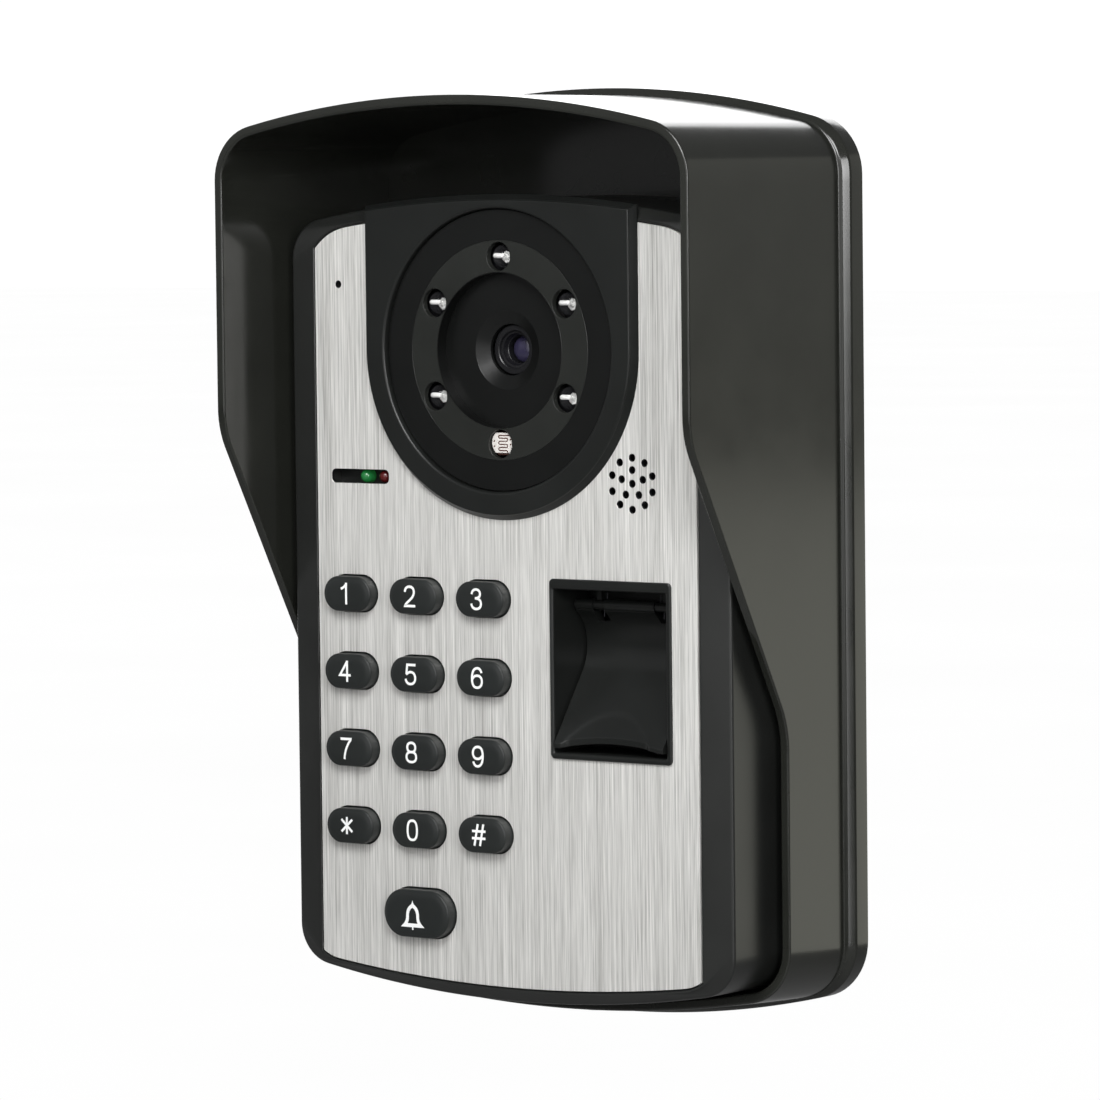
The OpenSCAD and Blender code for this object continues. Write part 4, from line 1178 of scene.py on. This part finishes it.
skin = Skin()
grid = []
for k in range(COLUMNS + 1):
    x = flap_lo.x + (flap_hi.x - flap_lo.x) * k / COLUMNS
    front, back = flap_lines(x)
    grid.append(skin.line([(x, y, z) for y, z in front + back[::-1]]))
for a, b in zip(grid, grid[1:]):
    skin.wall(a, b)
for end in (grid[0], grid[-1]):
    n = len(end) // 2
    for i in range(n - 1):
        skin.faces.append((end[i], end[i + 1], end[-i - 2], end[-i - 1]))
flap = skin.piece("flap", MATERIALS["panel_plastic"], "flap", "panel_plastic", ["fingerprint_flap"], angle=40)
for side in (-1, 1):
    cutter = Skin()
    x = READER_X + side * LUG_X
    z0, z1 = HINGE_Z - 3.6, HINGE_Z + 6
    loop = [(HINGE_Y - 6, z1), (HINGE_Y - 6, z0), (HINGE_Y + 6, z0), (HINGE_Y + 6, z1)]
    extrude_x(cutter, loop, x - NOTCH_W / 2, x + NOTCH_W / 2)
    mesh = bpy.data.meshes.new("cutter")
    mesh.from_pydata([tuple(c * MM for c in p) for p in cutter.points], [], cutter.faces)
    tool = bpy.data.objects.new("cutter", mesh)
    bpy.context.scene.collection.objects.link(tool)
    cut = flap.modifiers.new("notch", "BOOLEAN")
    cut.object = tool
    cut.solver = "EXACT"
    bpy.context.view_layer.objects.active = flap
    with bpy.context.temp_override(object=flap, active_object=flap):
        bpy.ops.object.modifier_move_to_index(modifier="notch", index=0)
        bpy.ops.object.modifier_apply(modifier="notch")
    bpy.data.objects.remove(tool)
bars = ((flap_lo.x, READER_X - LUG_X - NOTCH_W / 2), (READER_X - LUG_X + NOTCH_W / 2, READER_X + LUG_X - NOTCH_W / 2),
        (READER_X + LUG_X + NOTCH_W / 2, flap_hi.x))
for k, (x0, x1) in enumerate(bars):
    loop = [
        (HINGE_Y + BARREL_R * math.cos(2 * math.pi * i / 32), HINGE_Z + BARREL_R * math.sin(2 * math.pi * i / 32))
        for i in range(32)
    ]
    extrude_x(Skin(), loop, x0, x1).piece(f"flap_knuckle_{k + 1}", MATERIALS["panel_plastic"], "flap", "panel_plastic")


# ---- floor, light and camera ----

FLOOR_Z = -0.32
bpy.ops.mesh.primitive_plane_add(size=30.0, location=(0, 0, FLOOR_Z))
floor = bpy.context.object
floor.name = "floor"
mat, tree, shader, coords = node_material("floor_white")
tree.links.new(
    ramp(tree, noise(tree, coords, 3.0), [(0.3, (0.28, 0.28, 0.28)), (0.7, (0.32, 0.32, 0.32))]),
    shader.inputs["Base Color"],
)
shader.inputs["Roughness"].default_value = 0.9
shader.inputs["Specular IOR Level"].default_value = 0.0
white = tree.nodes.new("ShaderNodeEmission")
white.inputs["Strength"].default_value = 1.0
tree.links.new(
    ramp(tree, noise(tree, coords, 2.0), [(0.3, (0.985, 0.985, 0.985)), (0.7, (1.0, 1.0, 1.0))]), white.inputs["Color"]
)
seen_by = tree.nodes.new("ShaderNodeLightPath")
blend = tree.nodes.new("ShaderNodeMixShader")
tree.links.new(seen_by.outputs["Is Camera Ray"], blend.inputs["Fac"])
tree.links.new(shader.outputs[0], blend.inputs[1])
tree.links.new(white.outputs[0], blend.inputs[2])
tree.links.new(blend.outputs[0], tree.nodes["Material Output"].inputs["Surface"])
floor.data.materials.append(mat)

world = bpy.data.worlds.new("studio")
bpy.context.scene.world = world
world.use_nodes = True
tree = world.node_tree
tree.nodes.clear()
seen = tree.nodes.new("ShaderNodeBackground")
seen.inputs["Color"].default_value = (1, 1, 1, 1)
seen.inputs["Strength"].default_value = 1.05
fill = tree.nodes.new("ShaderNodeBackground")
fill.inputs["Color"].default_value = (0.97, 0.98, 1.0, 1)
fill.inputs["Strength"].default_value = 0.2
rays = tree.nodes.new("ShaderNodeLightPath")
mix = tree.nodes.new("ShaderNodeMixShader")
out = tree.nodes.new("ShaderNodeOutputWorld")
tree.links.new(rays.outputs["Is Camera Ray"], mix.inputs["Fac"])
tree.links.new(fill.outputs[0], mix.inputs[1])
tree.links.new(seen.outputs[0], mix.inputs[2])
tree.links.new(mix.outputs[0], out.inputs["Surface"])

TARGET = Vector((0, -0.04, 0))


def softbox(name, place, size, power, color=(1, 1, 1)):
    data = bpy.data.lights.new(name, "AREA")
    data.shape = "RECTANGLE"
    data.size, data.size_y = size
    data.energy = power
    data.color = color
    lamp = bpy.data.objects.new(name, data)
    lamp.location = place
    lamp.rotation_mode = "QUATERNION"
    lamp.rotation_quaternion = (TARGET - Vector(place)).to_track_quat("-Z", "Y")
    lamp.visible_camera = False
    bpy.context.scene.collection.objects.link(lamp)
    return lamp


WARM = (1.0, 1.0, 0.87)
softbox("key_light", (1.0, -0.75, 0.3), (0.4, 0.5), 6.0)
softbox("front_light", (0.2, -0.5, 0.4), (0.3, 0.3), 3.4)
softbox("front_panel", (0.2, -0.95, 0.28), (0.8, 0.9), 3.0)
softbox("edge_strip", (0.95, -0.7, -0.05), (0.1, 0.8), 1.1)
softbox("left_panel", (-0.75, -0.9, 0.4), (0.9, 0.9), 0.35)
softbox("left_strip", (-1.3, -0.35, 0.05), (0.35, 0.9), 0.5)
softbox("side_low", (0.75, 1.0, -0.32), (1.2, 0.56), 2.5, WARM)
softbox("side_high", (0.75, 1.0, 0.24), (1.2, 0.54), 0.6, WARM)
softbox("backdrop_light", (-1.0, 1.3, 0.4), (2.0, 1.4), 25.0)

CAM_AIM = Vector((12.55, -42.0, 2.75)) * MM
CAM_AZIMUTH, CAM_ELEVATION, CAM_ROLL = math.radians(36.7767), math.radians(3.6547), math.radians(-0.6267)
CAM_DISTANCE = 1.2792
CAM_LENS, CAM_SENSOR = 196.0, 36.0
cam_back = Vector((
    math.sin(CAM_AZIMUTH) * math.cos(CAM_ELEVATION),
    -math.cos(CAM_AZIMUTH) * math.cos(CAM_ELEVATION),
    math.sin(CAM_ELEVATION),
))
cam_data = bpy.data.cameras.new("camera")
cam_data.lens = CAM_LENS
cam_data.sensor_width = CAM_SENSOR
cam_data.clip_start, cam_data.clip_end = 0.01, 50.0
camera = bpy.data.objects.new("camera", cam_data)
bpy.context.scene.collection.objects.link(camera)
camera.location = CAM_AIM + cam_back * CAM_DISTANCE
camera.rotation_mode = "QUATERNION"
camera.rotation_quaternion = (-cam_back).to_track_quat("-Z", "Y") @ Matrix.Rotation(CAM_ROLL, 3, "Z").to_quaternion()
bpy.context.scene.camera = camera

bpy.context.scene.view_settings.view_transform = "Standard"
bpy.context.scene.view_settings.look = "None"
